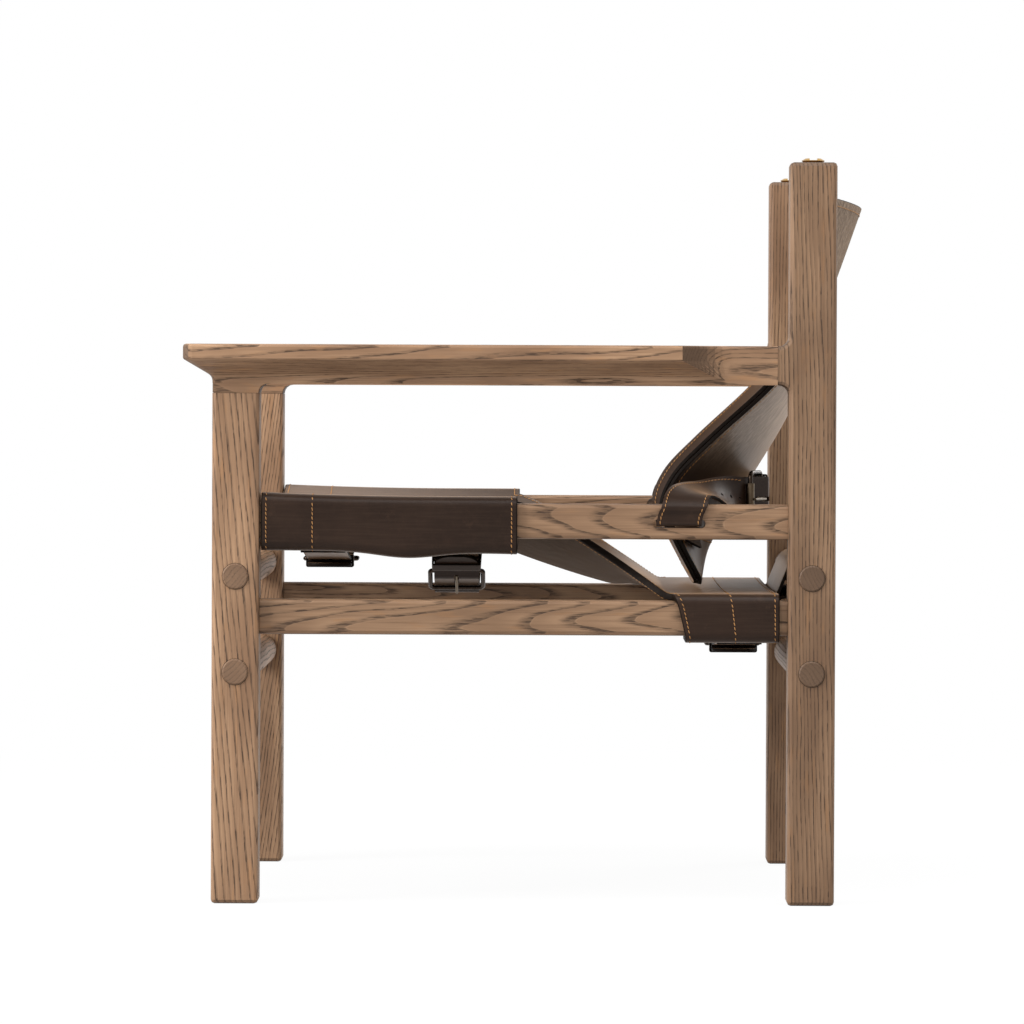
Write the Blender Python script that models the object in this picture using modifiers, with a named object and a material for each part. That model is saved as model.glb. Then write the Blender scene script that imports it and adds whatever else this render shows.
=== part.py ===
"""Easy chair: a wooden frame that carries a leather seat sling and a leather back sling.

Metres, +Z up. The sitter faces -Y, and +X is the sitter's left. Run it with
blender --background --python part.py, or from Blender's text editor. The chair stands on Z = 0 with the
middle of its bounding box over the origin.

Every length below is a driving size. What fits in, seats on or passes through another piece is worked
out from the sizes of that piece and a named clearance.
"""

import math
from dataclasses import dataclass

import bmesh
import bpy
from mathutils import Matrix, Vector

# Clearances between pieces
SEAT_GAP = 0.0003
FIT_GAP = 0.0004
LAYER_GAP = 0.0008
CUT_OVERRUN = 0.005

# Legs and posts
CHAIR_WIDTH = 0.640
LEG_SIDE = 0.050
LEG_EDGE = 0.004
LEG_SPACING = 0.6118
FRONT_LEG_HEIGHT = 0.542
POST_HEIGHT = 0.789
EAR_REACH = 0.0121
EAR_FILLET = 0.010

# Arms
ARM_THICKNESS = 0.0414
ARM_TOP_ABOVE_LEG = 0.052
ARM_OVERHANG = 0.030
ARM_RIM = 0.016
ARM_BEVEL_DROP = 0.017
ARM_BEVEL_RUN = 0.028
ARM_BEVEL_FILLET = 0.009
ARM_NOSE_RADIUS = 0.010
ARM_EDGE = 0.003
SCOOP_TO_POST = 0.102
SCOOP_RADIUS = 0.055
SCOOP_ANGLE = math.radians(45)

# Side rails
RAIL_HEIGHT = 0.0374
RAIL_THICKNESS = 0.028
RAIL_EDGE = 0.004
UPPER_RAIL_HEIGHT = 0.407
LOWER_RAIL_BELOW_UPPER = 0.1023
TENON_LENGTH = 0.022
TENON_THICKNESS = 0.014
TENON_HEIGHT = 0.026

# Cross bars
CROSS_BAR_DIAMETER = 0.036
CROSS_PEG_DIAMETER = 0.0278
CROSS_PEG_PROUD = 0.002
CROSS_PEG_CHAMFER = 0.0015
UPPER_CROSS_BELOW_RAIL = 0.0593
LOWER_CROSS_BELOW_RAIL = 0.0585
CROSS_BAR_SHOULDER = 0.002

# Dowels between the arms and their leg and post
DOWEL_DIAMETER = 0.010
DOWEL_LENGTH = 0.034
DOWEL_SPACING = 0.022
DOWEL_CHAMFER = 0.001

# Brass rods in the posts, and the slots that the back sling's hems go in
ROD_DIAMETER = 0.009
ROD_LENGTH = 0.190
ROD_HEAD_DIAMETER = 0.025
ROD_HEAD_TOP_DIAMETER = 0.017
ROD_HEAD_FOOT_DIAMETER = 0.021
ROD_HEAD_HEIGHT = 0.0044
ROD_HEAD_WAIST = 0.002
ROD_SLOT_WIDTH = 0.0083
ROD_SLOT_DEPTH = 0.002
POST_SLOT_BELOW_TOP = 0.023
POST_SLOT_LENGTH = 0.158

# Seat sling: it wraps the upper rails in front and the lower rails behind
SEAT_LEATHER = 0.007
SEAT_FRONT_CLEARANCE = 0.002
SEAT_FRONT_WRAP = 0.272
SEAT_REAR_WRAP = 0.108
SEAT_REAR_CLEARANCE = 0.009
SEAT_REAR_SLANT = 0.011
SEAT_FRONT_SLACK = 0.006
SEAT_SAG_AT_NOSE = 0.030
SEAT_SAG_AT_WAIST = 0.0605
SEAT_SAG_AT_REAR = 0.014
SEAT_FREE_EDGE_INSET = 0.009
SEAT_WAIST_INSET = 0.010
SEAT_FLAP_END_X = 0.212
SEAT_FALL_POWER = 1.35

# Sleeve from the seat's rear edge round the rear upper cross bar
LOOP_LEATHER = 0.003
LOOP_WIDTH = 0.330
LOOP_TAIL = 0.060

# Back sling: its rows run down from the top edge
BACK_LEATHER = 0.0042
HEM_LAYER = 0.0021
BACK_TOP_DROP = 0.030
BACK_TOP_DIP = 0.010
BACK_HEM_LENGTH = 0.148
BACK_FREE_EDGE_X = 0.262
BACK_LOWER_EDGE_X = 0.216
BACK_LINING_DROP = 0.215
BACK_FOOT_BELOW_RAIL = 0.064
BACK_CENTRE_RISE = 0.001
BACK_EDGE_FORWARD = 0.1593
BACK_CENTRE_FORWARD = 0.118
BACK_BULGE = 0.064
BACK_CROSS_POWER = 2.2

# Straps
STRAP_LEATHER = 0.003
STRAP_WIDTH = 0.048
STRAP_SLOT_LENGTH = 0.056
STRAP_SLOT_HEIGHT = 0.009
STRAP_SLOT_TO_POST = 0.116
STRAP_SLOT_DROP = 0.0018
STRAP_HOLE = 0.004
STRAP_HOLE_SPACING = 0.018
STRAP_HOLE_COUNT = 3
STRAP_TIP_SHARE = 0.55
STRAP_LEAN = 0.009
STRAP_RISE = 0.011

# Straps under the seat, and where their buckles hang
FRONT_STRAP_PLACE = 0.064
MIDDLE_STRAP_PLACE = 0.206
REAR_STRAP_PLACE = 0.041
HEEL_X = 0.018
FRONT_STRAP_SAG = 0.014
REAR_STRAP_SAG = 0.010
MIDDLE_HEEL_X = 0.192
MIDDLE_STRAP_SAG = 0.022
MIDDLE_STRAP_TILT = math.radians(35)
MIDDLE_TAIL_LEAVING = math.radians(-13)
MIDDLE_TAIL_END = -0.036
MIDDLE_FOLD_END = -0.028
MIDDLE_KEEPER_PLACE = -0.018
MIDDLE_SEWN_FROM = 0.230
STRAP_SEWN_TO = 0.262
STRAP_KNEE = 0.020

# Belt behind the back sling
BELT_ABOVE_RAIL = 0.023
BELT_BUCKLE_X = 0.176
BELT_TILT = math.radians(20)
BELT_TAIL_LEAVING = math.radians(-18)

# Buckles
BUCKLE_WIRE = 0.005
BUCKLE_WIDTH = 0.057
BUCKLE_LENGTH = 0.034
BUCKLE_FRONT_CORNER = 0.006
BUCKLE_HEEL_CORNER = 0.0032
BUCKLE_TAIL_END = -0.075
BUCKLE_FOLD_END = -0.045
TAIL_LEAVING = math.radians(-5)
ROLLER_WALL = 0.0017
ROLLER_LENGTH = 0.034
PRONG_ROOT_RADIUS = 0.002
PRONG_TIP_RADIUS = 0.0015
PRONG_OVERHANG = 0.003
PRONG_EYE_RADIUS = 0.0052
PRONG_EYE_WIDTH = 0.006
PRONG_SLIT_START = -0.0045
PRONG_SLIT_END = 0.021
KEEPER_PLACE = -0.028
KEEPER_WIDTH = 0.012
KEEPER_LEATHER = 0.002

ROUND_STEPS = 20
FINE_ROUND_STEPS = 24

ARM_TOP_HEIGHT = FRONT_LEG_HEIGHT + ARM_TOP_ABOVE_LEG
LOWER_RAIL_HEIGHT = UPPER_RAIL_HEIGHT - LOWER_RAIL_BELOW_UPPER
UPPER_CROSS_HEIGHT = UPPER_RAIL_HEIGHT - UPPER_CROSS_BELOW_RAIL
LOWER_CROSS_HEIGHT = LOWER_RAIL_HEIGHT - LOWER_CROSS_BELOW_RAIL
BACK_CORNER_HEIGHT = POST_HEIGHT - BACK_TOP_DROP
BACK_EDGE_HEIGHT = BACK_CORNER_HEIGHT - UPPER_RAIL_HEIGHT + BACK_FOOT_BELOW_RAIL
BACK_CENTRE_HEIGHT = BACK_EDGE_HEIGHT - BACK_CENTRE_RISE
BELT_HEIGHT = UPPER_RAIL_HEIGHT + BELT_ABOVE_RAIL
LEG_X = (CHAIR_WIDTH - LEG_SIDE) / 2
HALF_LEG = LEG_SIDE / 2
FRONT_Y = -LEG_SPACING / 2
POST_Y = LEG_SPACING / 2
ARM_UNDERSIDE = ARM_TOP_HEIGHT - ARM_THICKNESS
EAR_FACE_Y = POST_Y - HALF_LEG - EAR_REACH
RAIL_START_Y = FRONT_Y + HALF_LEG
RAIL_END_Y = POST_Y - HALF_LEG
HEM_BORE_RADIUS = ROD_DIAMETER / 2 + FIT_GAP
HEM_RADIUS = HEM_BORE_RADIUS + HEM_LAYER
POST_BORE_RADIUS = HEM_RADIUS + SEAT_GAP

SIDES = {"left": 1, "right": -1}


class Workshop:
    """Holds the collections and materials, and makes objects in them."""

    def __init__(self):
        for old in list(bpy.data.objects):
            bpy.data.objects.remove(old)
        self.parts = self.collection("easy_chair")
        self.cutters = self.collection("cutters")
        self.cutters.hide_render = True
        self.root = bpy.data.objects.new("chair_origin", None)
        self.parts.objects.link(self.root)

    @staticmethod
    def collection(name):
        made = bpy.data.collections.new(name)
        bpy.context.scene.collection.children.link(made)
        return made

    def part(self, name, mesh, material, parent=None):
        """A visible piece with its own material, carried by the chair's origin or by parent."""
        made = bpy.data.objects.new(name, mesh)
        self.parts.objects.link(made)
        made.parent = parent or self.root
        made.data.materials.append(principled(name, **material))
        return made

    def helper(self, name, mesh, parent=None):
        """A cutter or a solid for a Boolean, which isn't a piece itself."""
        made = bpy.data.objects.new(name, mesh)
        self.cutters.objects.link(made)
        made.parent = parent or self.root
        made.hide_render = True
        made.display_type = "WIRE"
        return made

    def empty(self, name, matrix, parent=None):
        made = bpy.data.objects.new(name, None)
        self.parts.objects.link(made)
        made.parent = parent or self.root
        made.matrix_local = matrix
        return made


ASH = {"colour": (0.36, 0.22, 0.14), "roughness": 0.55, "metallic": 0.0}
END_GRAIN = {"colour": (0.27, 0.16, 0.10), "roughness": 0.6, "metallic": 0.0}
LEATHER = {"colour": (0.042, 0.026, 0.019), "roughness": 0.42, "metallic": 0.0}
BRASS = {"colour": (0.72, 0.52, 0.25), "roughness": 0.28, "metallic": 1.0}
GUNMETAL = {"colour": (0.09, 0.075, 0.06), "roughness": 0.25, "metallic": 1.0}
NICKEL = {"colour": (0.62, 0.60, 0.56), "roughness": 0.25, "metallic": 1.0}


def principled(name, colour, roughness, metallic):
    """A material with one Principled BSDF, named for its piece."""
    made = bpy.data.materials.new(name)
    made.use_nodes = True
    shader = made.node_tree.nodes["Principled BSDF"]
    shader.inputs["Base Color"].default_value = (*colour, 1)
    shader.inputs["Roughness"].default_value = roughness
    shader.inputs["Metallic"].default_value = metallic
    return made


def mesh_from(bm, name, smooth_angle=math.radians(35)):
    """Ends a bmesh as a mesh whose faces point out and whose round faces are smooth."""
    bmesh.ops.recalc_face_normals(bm, faces=bm.faces)
    mesh = bpy.data.meshes.new(name)
    bm.to_mesh(mesh)
    bm.free()
    mesh.shade_smooth()
    mesh.set_sharp_from_angle(angle=smooth_angle)
    return mesh


def boolean(target, tool, operation="DIFFERENCE"):
    modifier = target.modifiers.new(f"{operation.lower()}_{tool.name}", "BOOLEAN")
    modifier.operation = operation
    modifier.object = tool


def arc(centre, radius, start, end, steps):
    """Points of an arc in a plane, ends included; the angles are in radians."""
    turn = (end - start) / steps
    return [
        (
            centre[0] + radius * math.cos(start + turn * step),
            centre[1] + radius * math.sin(start + turn * step),
        )
        for step in range(steps + 1)
    ]


def round_off(bm, radius, segments, chosen):
    """Bevels the edges that chosen(edge) picks."""
    edges = [edge for edge in bm.edges if chosen(edge)]
    bmesh.ops.bevel(
        bm,
        geom=edges,
        offset=radius,
        offset_type="OFFSET",
        segments=segments,
        profile=0.5,
        affect="EDGES",
        clamp_overlap=True,
    )


def is_sharp(edge, angle=math.radians(60)):
    return len(edge.link_faces) == 2 and edge.calc_face_angle() > angle


def at_level(edge, axis, level):
    """Whether both ends of an edge lie in the plane where that coordinate is level."""
    tolerance = SEAT_GAP / 2
    return all(abs(corner.co[axis] - level) < tolerance for corner in edge.verts)


def is_upright(edge):
    """Whether an edge runs along Z."""
    along = edge.verts[1].co - edge.verts[0].co
    return abs(along.z) > along.length / 2


def block_mesh(name, size, centre, radius=0.0, segments=2, square=lambda edge: False):
    """A box with rounded edges, apart from the edges that square(edge) picks."""
    bm = bmesh.new()
    place = Matrix.Translation(centre) @ Matrix.Diagonal((*size, 1))
    bmesh.ops.create_cube(bm, size=1, matrix=place)
    if radius:
        round_off(bm, radius, segments, lambda edge: not square(edge))
    return mesh_from(bm, name)


def prism_mesh(name, outline, low, high, axis="X", radius=0.0, segments=2, square=lambda edge: False):
    """A flat outline carried from low to high along an axis. The outline is (y, z), (x, z) or (x, y)."""
    lift = {
        "X": lambda a, b, c: (c, a, b),
        "Y": lambda a, b, c: (a, c, b),
        "Z": lambda a, b, c: (a, b, c),
    }[axis]
    bm = bmesh.new()
    corners = [bm.verts.new(lift(a, b, low)) for a, b in outline]
    face = bm.faces.new(corners)
    grown = bmesh.ops.extrude_face_region(bm, geom=[face])["geom"]
    moved = [item for item in grown if isinstance(item, bmesh.types.BMVert)]
    bmesh.ops.translate(bm, vec=lift(0, 0, high - low), verts=moved)
    bmesh.ops.recalc_face_normals(bm, faces=bm.faces)
    if radius:
        round_off(bm, radius, segments, lambda edge: is_sharp(edge) and not square(edge))
    return mesh_from(bm, name)


def rod_mesh(name, radius, start, end, steps=ROUND_STEPS, chamfer=0.0):
    """A round bar between two points, with chamfered ends where chamfer is given."""
    start, end = Vector(start), Vector(end)
    along = end - start
    turn = along.to_track_quat("Z", "Y").to_matrix().to_4x4()
    place = Matrix.Translation((start + end) / 2) @ turn
    bm = bmesh.new()
    bmesh.ops.create_cone(
        bm,
        cap_ends=True,
        segments=steps,
        radius1=radius,
        radius2=radius,
        depth=along.length,
        matrix=place,
    )
    if chamfer:
        round_off(bm, chamfer, 1, is_sharp)
    return mesh_from(bm, name)


def turned(shop, name, profile, matrix, material, steps=ROUND_STEPS, parent=None):
    """A turned piece: the profile, (radius, height) from top to bottom, goes round the local Z axis."""
    bm = bmesh.new()
    corners = [bm.verts.new((radius, 0, height)) for radius, height in profile]
    for upper, lower in zip(corners, corners[1:]):
        bm.edges.new((upper, lower))
    mesh = bpy.data.meshes.new(name)
    bm.to_mesh(mesh)
    bm.free()
    piece = shop.part(name, mesh, material, parent)
    piece.matrix_local = matrix
    screw = piece.modifiers.new("turn", "SCREW")
    screw.steps = steps
    screw.render_steps = steps
    screw.use_merge_vertices = True
    screw.merge_threshold = 0.00001
    screw.use_smooth_shade = True
    return piece


def loft_mesh(name, rings):
    """A solid through rings of points, each ring with as many points as the next, closed at both ends."""
    bm = bmesh.new()
    loops = [[bm.verts.new(point) for point in ring] for ring in rings]
    for lower, upper in zip(loops, loops[1:]):
        count = len(lower)
        for here in range(count):
            there = (here + 1) % count
            bm.faces.new((lower[here], lower[there], upper[there], upper[here]))
    bm.faces.new(loops[0])
    bm.faces.new(loops[-1])
    bmesh.ops.remove_doubles(bm, verts=bm.verts, dist=SEAT_GAP / 10)
    return mesh_from(bm, name)


def build_front_leg(shop, side, sign):
    """A square leg. Its upper end meets the arm's foot block, so that end keeps square edges."""
    mesh = block_mesh(
        f"front_leg_{side}",
        (LEG_SIDE, LEG_SIDE, FRONT_LEG_HEIGHT),
        (sign * LEG_X, FRONT_Y, FRONT_LEG_HEIGHT / 2),
        LEG_EDGE,
        square=lambda edge: at_level(edge, 2, FRONT_LEG_HEIGHT),
    )
    leg = shop.part(f"front_leg_{side}", mesh, ASH)
    cut_rail_mortises(shop, leg, sign, FRONT_Y + HALF_LEG, -1)
    cut_peg_bores(shop, leg, sign, FRONT_Y)
    for number, offset in enumerate((-1, 1), start=1):
        cut_dowel_hole(
            shop,
            leg,
            f"{side}_leg_dowel_hole_{number}",
            (sign * LEG_X + offset * DOWEL_SPACING / 2, FRONT_Y, FRONT_LEG_HEIGHT),
            (0, 0, -1),
        )


def build_back_post(shop, side, sign):
    """A square post with a short ear for the arm, a bore for the brass rod and a slot for the hem."""
    front = POST_Y - HALF_LEG
    rear = POST_Y + HALF_LEG
    below, above = ARM_UNDERSIDE, ARM_TOP_HEIGHT
    lower_fillet = arc((front - EAR_FILLET, below - EAR_FILLET), EAR_FILLET, 0, math.pi / 2, 4)
    upper_fillet = arc((front - EAR_FILLET, above + EAR_FILLET), EAR_FILLET, -math.pi / 2, 0, 4)
    outline = [(front, 0), *lower_fillet, (EAR_FACE_Y, below), (EAR_FACE_Y, above)]
    outline += [*upper_fillet, (front, POST_HEIGHT), (rear, POST_HEIGHT), (rear, 0)]
    mesh = prism_mesh(
        f"back_post_{side}",
        outline,
        sign * LEG_X - HALF_LEG,
        sign * LEG_X + HALF_LEG,
        radius=LEG_EDGE,
        square=lambda edge: at_level(edge, 1, EAR_FACE_Y),
    )
    post = shop.part(f"back_post_{side}", mesh, ASH)
    cut_rail_mortises(shop, post, sign, POST_Y - HALF_LEG, 1)
    cut_peg_bores(shop, post, sign, POST_Y)
    for number, offset in enumerate((-1, 1), start=1):
        cut_dowel_hole(
            shop,
            post,
            f"{side}_ear_dowel_hole_{number}",
            (sign * LEG_X + offset * DOWEL_SPACING / 2, EAR_FACE_Y, arm_middle_height()),
            (0, 1, 0),
        )
    bore = rod_mesh(
        f"{side}_rod_bore",
        POST_BORE_RADIUS,
        (sign * LEG_X, POST_Y, POST_HEIGHT - ROD_LENGTH - FIT_GAP),
        (sign * LEG_X, POST_Y, POST_HEIGHT + CUT_OVERRUN),
    )
    boolean(post, shop.helper(f"{side}_rod_bore", bore))
    slot_top = POST_HEIGHT - POST_SLOT_BELOW_TOP
    slot_reach = HALF_LEG + CUT_OVERRUN
    slot = block_mesh(
        f"{side}_hem_slot",
        (slot_reach, BACK_LEATHER + 2 * SEAT_GAP, POST_SLOT_LENGTH),
        (sign * (LEG_X - slot_reach / 2), POST_Y, slot_top - POST_SLOT_LENGTH / 2),
    )
    boolean(post, shop.helper(f"{side}_hem_slot", slot))


def arm_middle_height():
    return ARM_TOP_HEIGHT - ARM_THICKNESS / 2


def cut_rail_mortises(shop, leg, sign, face_y, direction):
    """Mortises for the upper and lower side rails, in the face at face_y; direction is into the wood."""
    depth = TENON_LENGTH + FIT_GAP
    length = depth + CUT_OVERRUN
    middle = face_y + direction * (depth - CUT_OVERRUN) / 2
    for level, height in (("upper", UPPER_RAIL_HEIGHT), ("lower", LOWER_RAIL_HEIGHT)):
        name = f"{leg.name}_{level}_mortise"
        size = (TENON_THICKNESS + 2 * FIT_GAP, length, TENON_HEIGHT + 2 * FIT_GAP)
        mortise = block_mesh(name, size, (sign * LEG_X, middle, height))
        boolean(leg, shop.helper(name, mortise))


def cut_peg_bores(shop, leg, sign, middle_y):
    """Bores right through a leg for the round tenons of the cross bars."""
    reach = HALF_LEG + CUT_OVERRUN
    for level, height in (("upper", UPPER_CROSS_HEIGHT), ("lower", LOWER_CROSS_HEIGHT)):
        name = f"{leg.name}_{level}_peg_bore"
        bore = rod_mesh(
            name,
            CROSS_PEG_DIAMETER / 2 + FIT_GAP,
            (sign * LEG_X - reach, middle_y, height),
            (sign * LEG_X + reach, middle_y, height),
            FINE_ROUND_STEPS,
        )
        boolean(leg, shop.helper(name, bore))


def cut_dowel_hole(shop, target, name, mouth, inwards):
    """A blind hole for half a dowel, from a point on the joint's face."""
    mouth, inwards = Vector(mouth), Vector(inwards)
    hole = rod_mesh(
        name,
        DOWEL_DIAMETER / 2 + FIT_GAP,
        mouth - inwards * CUT_OVERRUN,
        mouth + inwards * (DOWEL_LENGTH / 2 + FIT_GAP),
        ROUND_STEPS,
    )
    boolean(target, shop.helper(name, hole))


def scoop_y(reach):
    """Where along the arm the scooped rear stands out by reach from the leg's plane."""
    scoop_start = EAR_FACE_Y - SCOOP_TO_POST
    tangent = SCOOP_RADIUS * math.tan(SCOOP_ANGLE / 2)
    flush = scoop_start + ARM_OVERHANG / math.tan(SCOOP_ANGLE) + tangent
    bend = SCOOP_RADIUS * (1 - math.cos(SCOOP_ANGLE))
    if reach > bend:
        return scoop_start + (ARM_OVERHANG - reach) / math.tan(SCOOP_ANGLE)
    rise = SCOOP_RADIUS - max(reach, 0)
    return flush - math.sqrt(max(SCOOP_RADIUS**2 - rise**2, 0))


SCOOP_SHARES = (1.0, 0.78, 0.56, 0.38, 0.22, 0.1, 0.03, 0.0)


def arm_levels():
    """(height, reach beyond the leg's plane) up the arm's outer face: wall, fillet, bevel, rim, edge."""
    slope = math.atan2(ARM_BEVEL_DROP, ARM_BEVEL_RUN)
    rim_foot = ARM_TOP_HEIGHT - ARM_RIM
    meeting = rim_foot - ARM_OVERHANG * math.tan(slope)
    centre = (ARM_BEVEL_FILLET, meeting - ARM_BEVEL_FILLET / math.tan((math.pi / 2 + slope) / 2))
    fillet = arc(centre, ARM_BEVEL_FILLET, math.pi, math.pi / 2 + slope, 4)
    lip = (ARM_OVERHANG - ARM_EDGE / 3, rim_foot - ARM_EDGE / 3 * math.tan(slope))
    levels = [(ARM_UNDERSIDE, 0)]
    levels += [(height, reach) for reach, height in fillet]
    levels += [(lip[1], lip[0]), (rim_foot + ARM_EDGE / 3, ARM_OVERHANG)]
    for turn in (0, math.pi / 4, math.pi / 2):
        height = ARM_TOP_HEIGHT - ARM_EDGE * (1 - math.sin(turn))
        levels.append((height, ARM_OVERHANG - ARM_EDGE * (1 - math.cos(turn))))
    return levels


def arm_ring(sign, height, reach):
    """The arm's outline at one height, seen from above."""
    inset = max(ARM_EDGE - (ARM_TOP_HEIGHT - height), 0)
    inset = ARM_EDGE - math.sqrt(max(ARM_EDGE**2 - inset**2, 0))
    inner = LEG_X - HALF_LEG + inset
    outer = LEG_X + HALF_LEG + reach
    front = FRONT_Y - HALF_LEG - reach
    rear = EAR_FACE_Y - SEAT_GAP
    nose = LEG_EDGE + (ARM_NOSE_RADIUS - LEG_EDGE) * reach / ARM_OVERHANG
    ring = [(inner, rear)]
    ring += arc((inner + LEG_EDGE, front + LEG_EDGE), LEG_EDGE, math.pi, math.pi * 1.5, 2)
    ring += arc((outer - nose, front + nose), nose, -math.pi / 2, 0, 4)
    standing = reach + inset if reach else 0
    for share in SCOOP_SHARES:
        along = scoop_y(standing * share) if share < 1 else scoop_y(standing)
        ring.append((LEG_X + HALF_LEG - inset + standing * share, along))
    ring.append((LEG_X + HALF_LEG - inset, rear))
    return [(sign * x, y, height) for x, y in ring]


def build_arm(shop, side, sign):
    """The arm: a bar over the leg and post with a brim that is undercut outside and round the nose."""
    rings = [arm_ring(sign, height, reach) for height, reach in arm_levels()]
    arm = shop.part(f"arm_{side}", loft_mesh(f"arm_{side}", rings), ASH)
    foot = FRONT_LEG_HEIGHT + SEAT_GAP
    drop = ARM_UNDERSIDE - foot
    front = FRONT_Y - HALF_LEG + SEAT_GAP
    rear = FRONT_Y + HALF_LEG - SEAT_GAP
    buried = ARM_UNDERSIDE + ARM_THICKNESS / 2
    outline = [(front, foot), (rear, foot)]
    outline += arc((rear + drop, foot), drop, math.pi, math.pi / 2, 4)[1:]
    outline += [(rear + drop, buried), (front, buried)]
    name = f"arm_foot_{side}"
    block = prism_mesh(
        name,
        outline,
        sign * LEG_X - HALF_LEG + SEAT_GAP,
        sign * LEG_X + HALF_LEG - SEAT_GAP,
        radius=LEG_EDGE - SEAT_GAP,
        square=lambda edge: not is_upright(edge),
    )
    boolean(arm, shop.helper(name, block), "UNION")
    for number, offset in enumerate((-1, 1), start=1):
        across = sign * LEG_X + offset * DOWEL_SPACING / 2
        cut_dowel_hole(shop, arm, f"{side}_arm_foot_hole_{number}", (across, FRONT_Y, foot), (0, 0, 1))
        rear_mouth = (across, EAR_FACE_Y - SEAT_GAP, arm_middle_height())
        cut_dowel_hole(shop, arm, f"{side}_arm_rear_hole_{number}", rear_mouth, (0, -1, 0))
        front_joint = Vector((across, FRONT_Y, FRONT_LEG_HEIGHT))
        rear_joint = Vector((across, EAR_FACE_Y, arm_middle_height()))
        for place, joint, along in (
            ("front", front_joint, Vector((0, 0, 1))),
            ("rear", rear_joint, Vector((0, 1, 0))),
        ):
            name = f"arm_{place}_dowel_{side}_{number}"
            half = along * DOWEL_LENGTH / 2
            mesh = rod_mesh(name, DOWEL_DIAMETER / 2, joint - half, joint + half, ROUND_STEPS, DOWEL_CHAMFER)
            shop.part(name, mesh, ASH)


def build_side_rail(shop, level, side, sign, height):
    """A side rail with shoulders against the leg and the post and a tenon at each end."""
    name = f"{level}_side_rail_{side}"
    start, end = RAIL_START_Y + SEAT_GAP, RAIL_END_Y - SEAT_GAP
    mesh = block_mesh(
        name,
        (RAIL_THICKNESS, end - start, RAIL_HEIGHT),
        (sign * LEG_X, (start + end) / 2, height),
        RAIL_EDGE,
        square=lambda edge: at_level(edge, 1, start) or at_level(edge, 1, end),
    )
    rail = shop.part(name, mesh, ASH)
    tongue = block_mesh(
        f"{name}_tongue",
        (TENON_THICKNESS, RAIL_END_Y - RAIL_START_Y + 2 * TENON_LENGTH, TENON_HEIGHT),
        (sign * LEG_X, (RAIL_START_Y + RAIL_END_Y) / 2, height),
    )
    boolean(rail, shop.helper(f"{name}_tongue", tongue), "UNION")
    return rail


def build_cross_bar(shop, place, level, middle_y, height):
    """A round bar between two legs, turned down at each end to a peg that shows in the leg's face."""
    name = f"{place}_{level}_cross_bar"
    shoulder = LEG_X - HALF_LEG - SEAT_GAP
    tip = LEG_X + HALF_LEG + CROSS_PEG_PROUD
    bar, peg = CROSS_BAR_DIAMETER / 2, CROSS_PEG_DIAMETER / 2
    half = [
        (0, tip),
        (peg - CROSS_PEG_CHAMFER, tip),
        (peg, tip - CROSS_PEG_CHAMFER),
        (peg, shoulder),
        (bar - CROSS_BAR_SHOULDER, shoulder),
        (bar, shoulder - CROSS_BAR_SHOULDER),
    ]
    profile = half + [(radius, -along) for radius, along in reversed(half)]
    lie_across = Matrix.Translation((0, middle_y, height)) @ Matrix.Rotation(math.pi / 2, 4, "Y")
    turned(shop, name, profile, lie_across, END_GRAIN, FINE_ROUND_STEPS)


def build_brass_rod(shop, side, sign):
    """The rod that holds the back sling's hem in its post. Its origin is on the post's axis."""
    name = f"brass_rod_{side}"
    seat = SEAT_GAP
    radius = ROD_DIAMETER / 2
    profile = [
        (0, seat + ROD_HEAD_HEIGHT),
        (ROD_HEAD_TOP_DIAMETER / 2, seat + ROD_HEAD_HEIGHT),
        (ROD_HEAD_DIAMETER / 2, seat + ROD_HEAD_WAIST),
        (ROD_HEAD_FOOT_DIAMETER / 2, seat),
        (radius, seat),
        (radius, -ROD_LENGTH + DOWEL_CHAMFER),
        (radius - DOWEL_CHAMFER, -ROD_LENGTH),
        (0, -ROD_LENGTH),
    ]
    place = Matrix.Translation((sign * LEG_X, POST_Y, POST_HEIGHT))
    rod = turned(shop, name, profile, place, BRASS)
    slot_height = ROD_SLOT_DEPTH + CUT_OVERRUN
    slot = block_mesh(
        f"{name}_slot",
        (ROD_HEAD_DIAMETER + CUT_OVERRUN, ROD_SLOT_WIDTH, slot_height),
        (
            sign * LEG_X,
            POST_Y,
            POST_HEIGHT + seat + ROD_HEAD_HEIGHT - ROD_SLOT_DEPTH + slot_height / 2,
        ),
    )
    boolean(rod, shop.helper(f"{name}_slot", slot))


def build_frame(shop):
    for side, sign in SIDES.items():
        build_front_leg(shop, side, sign)
        build_back_post(shop, side, sign)
        build_arm(shop, side, sign)
        rail = build_side_rail(shop, "upper", side, sign, UPPER_RAIL_HEIGHT)
        cut_strap_slot(shop, rail, sign)
        build_side_rail(shop, "lower", side, sign, LOWER_RAIL_HEIGHT)
        build_brass_rod(shop, side, sign)
    for place, middle_y in (("front", FRONT_Y), ("rear", POST_Y)):
        build_cross_bar(shop, place, "upper", middle_y, UPPER_CROSS_HEIGHT)
        build_cross_bar(shop, place, "lower", middle_y, LOWER_CROSS_HEIGHT)


def corner(centre, radius, start, end, steps):
    """Points round a corner, whose straight runs touch the circle and never cut into it."""
    turn = (end - start) / steps
    reach = radius / math.cos(turn / 2)
    bends = arc(centre, reach, start + turn / 2, end - turn / 2, steps - 1) if steps > 1 else []
    if steps == 1:
        middle = start + turn / 2
        bends = [(centre[0] + reach * math.cos(middle), centre[1] + reach * math.sin(middle))]
    ends = arc(centre, radius, start, end, 1)
    return [ends[0], *bends, ends[1]]


def mix(low, high, share):
    return low + (high - low) * share


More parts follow.
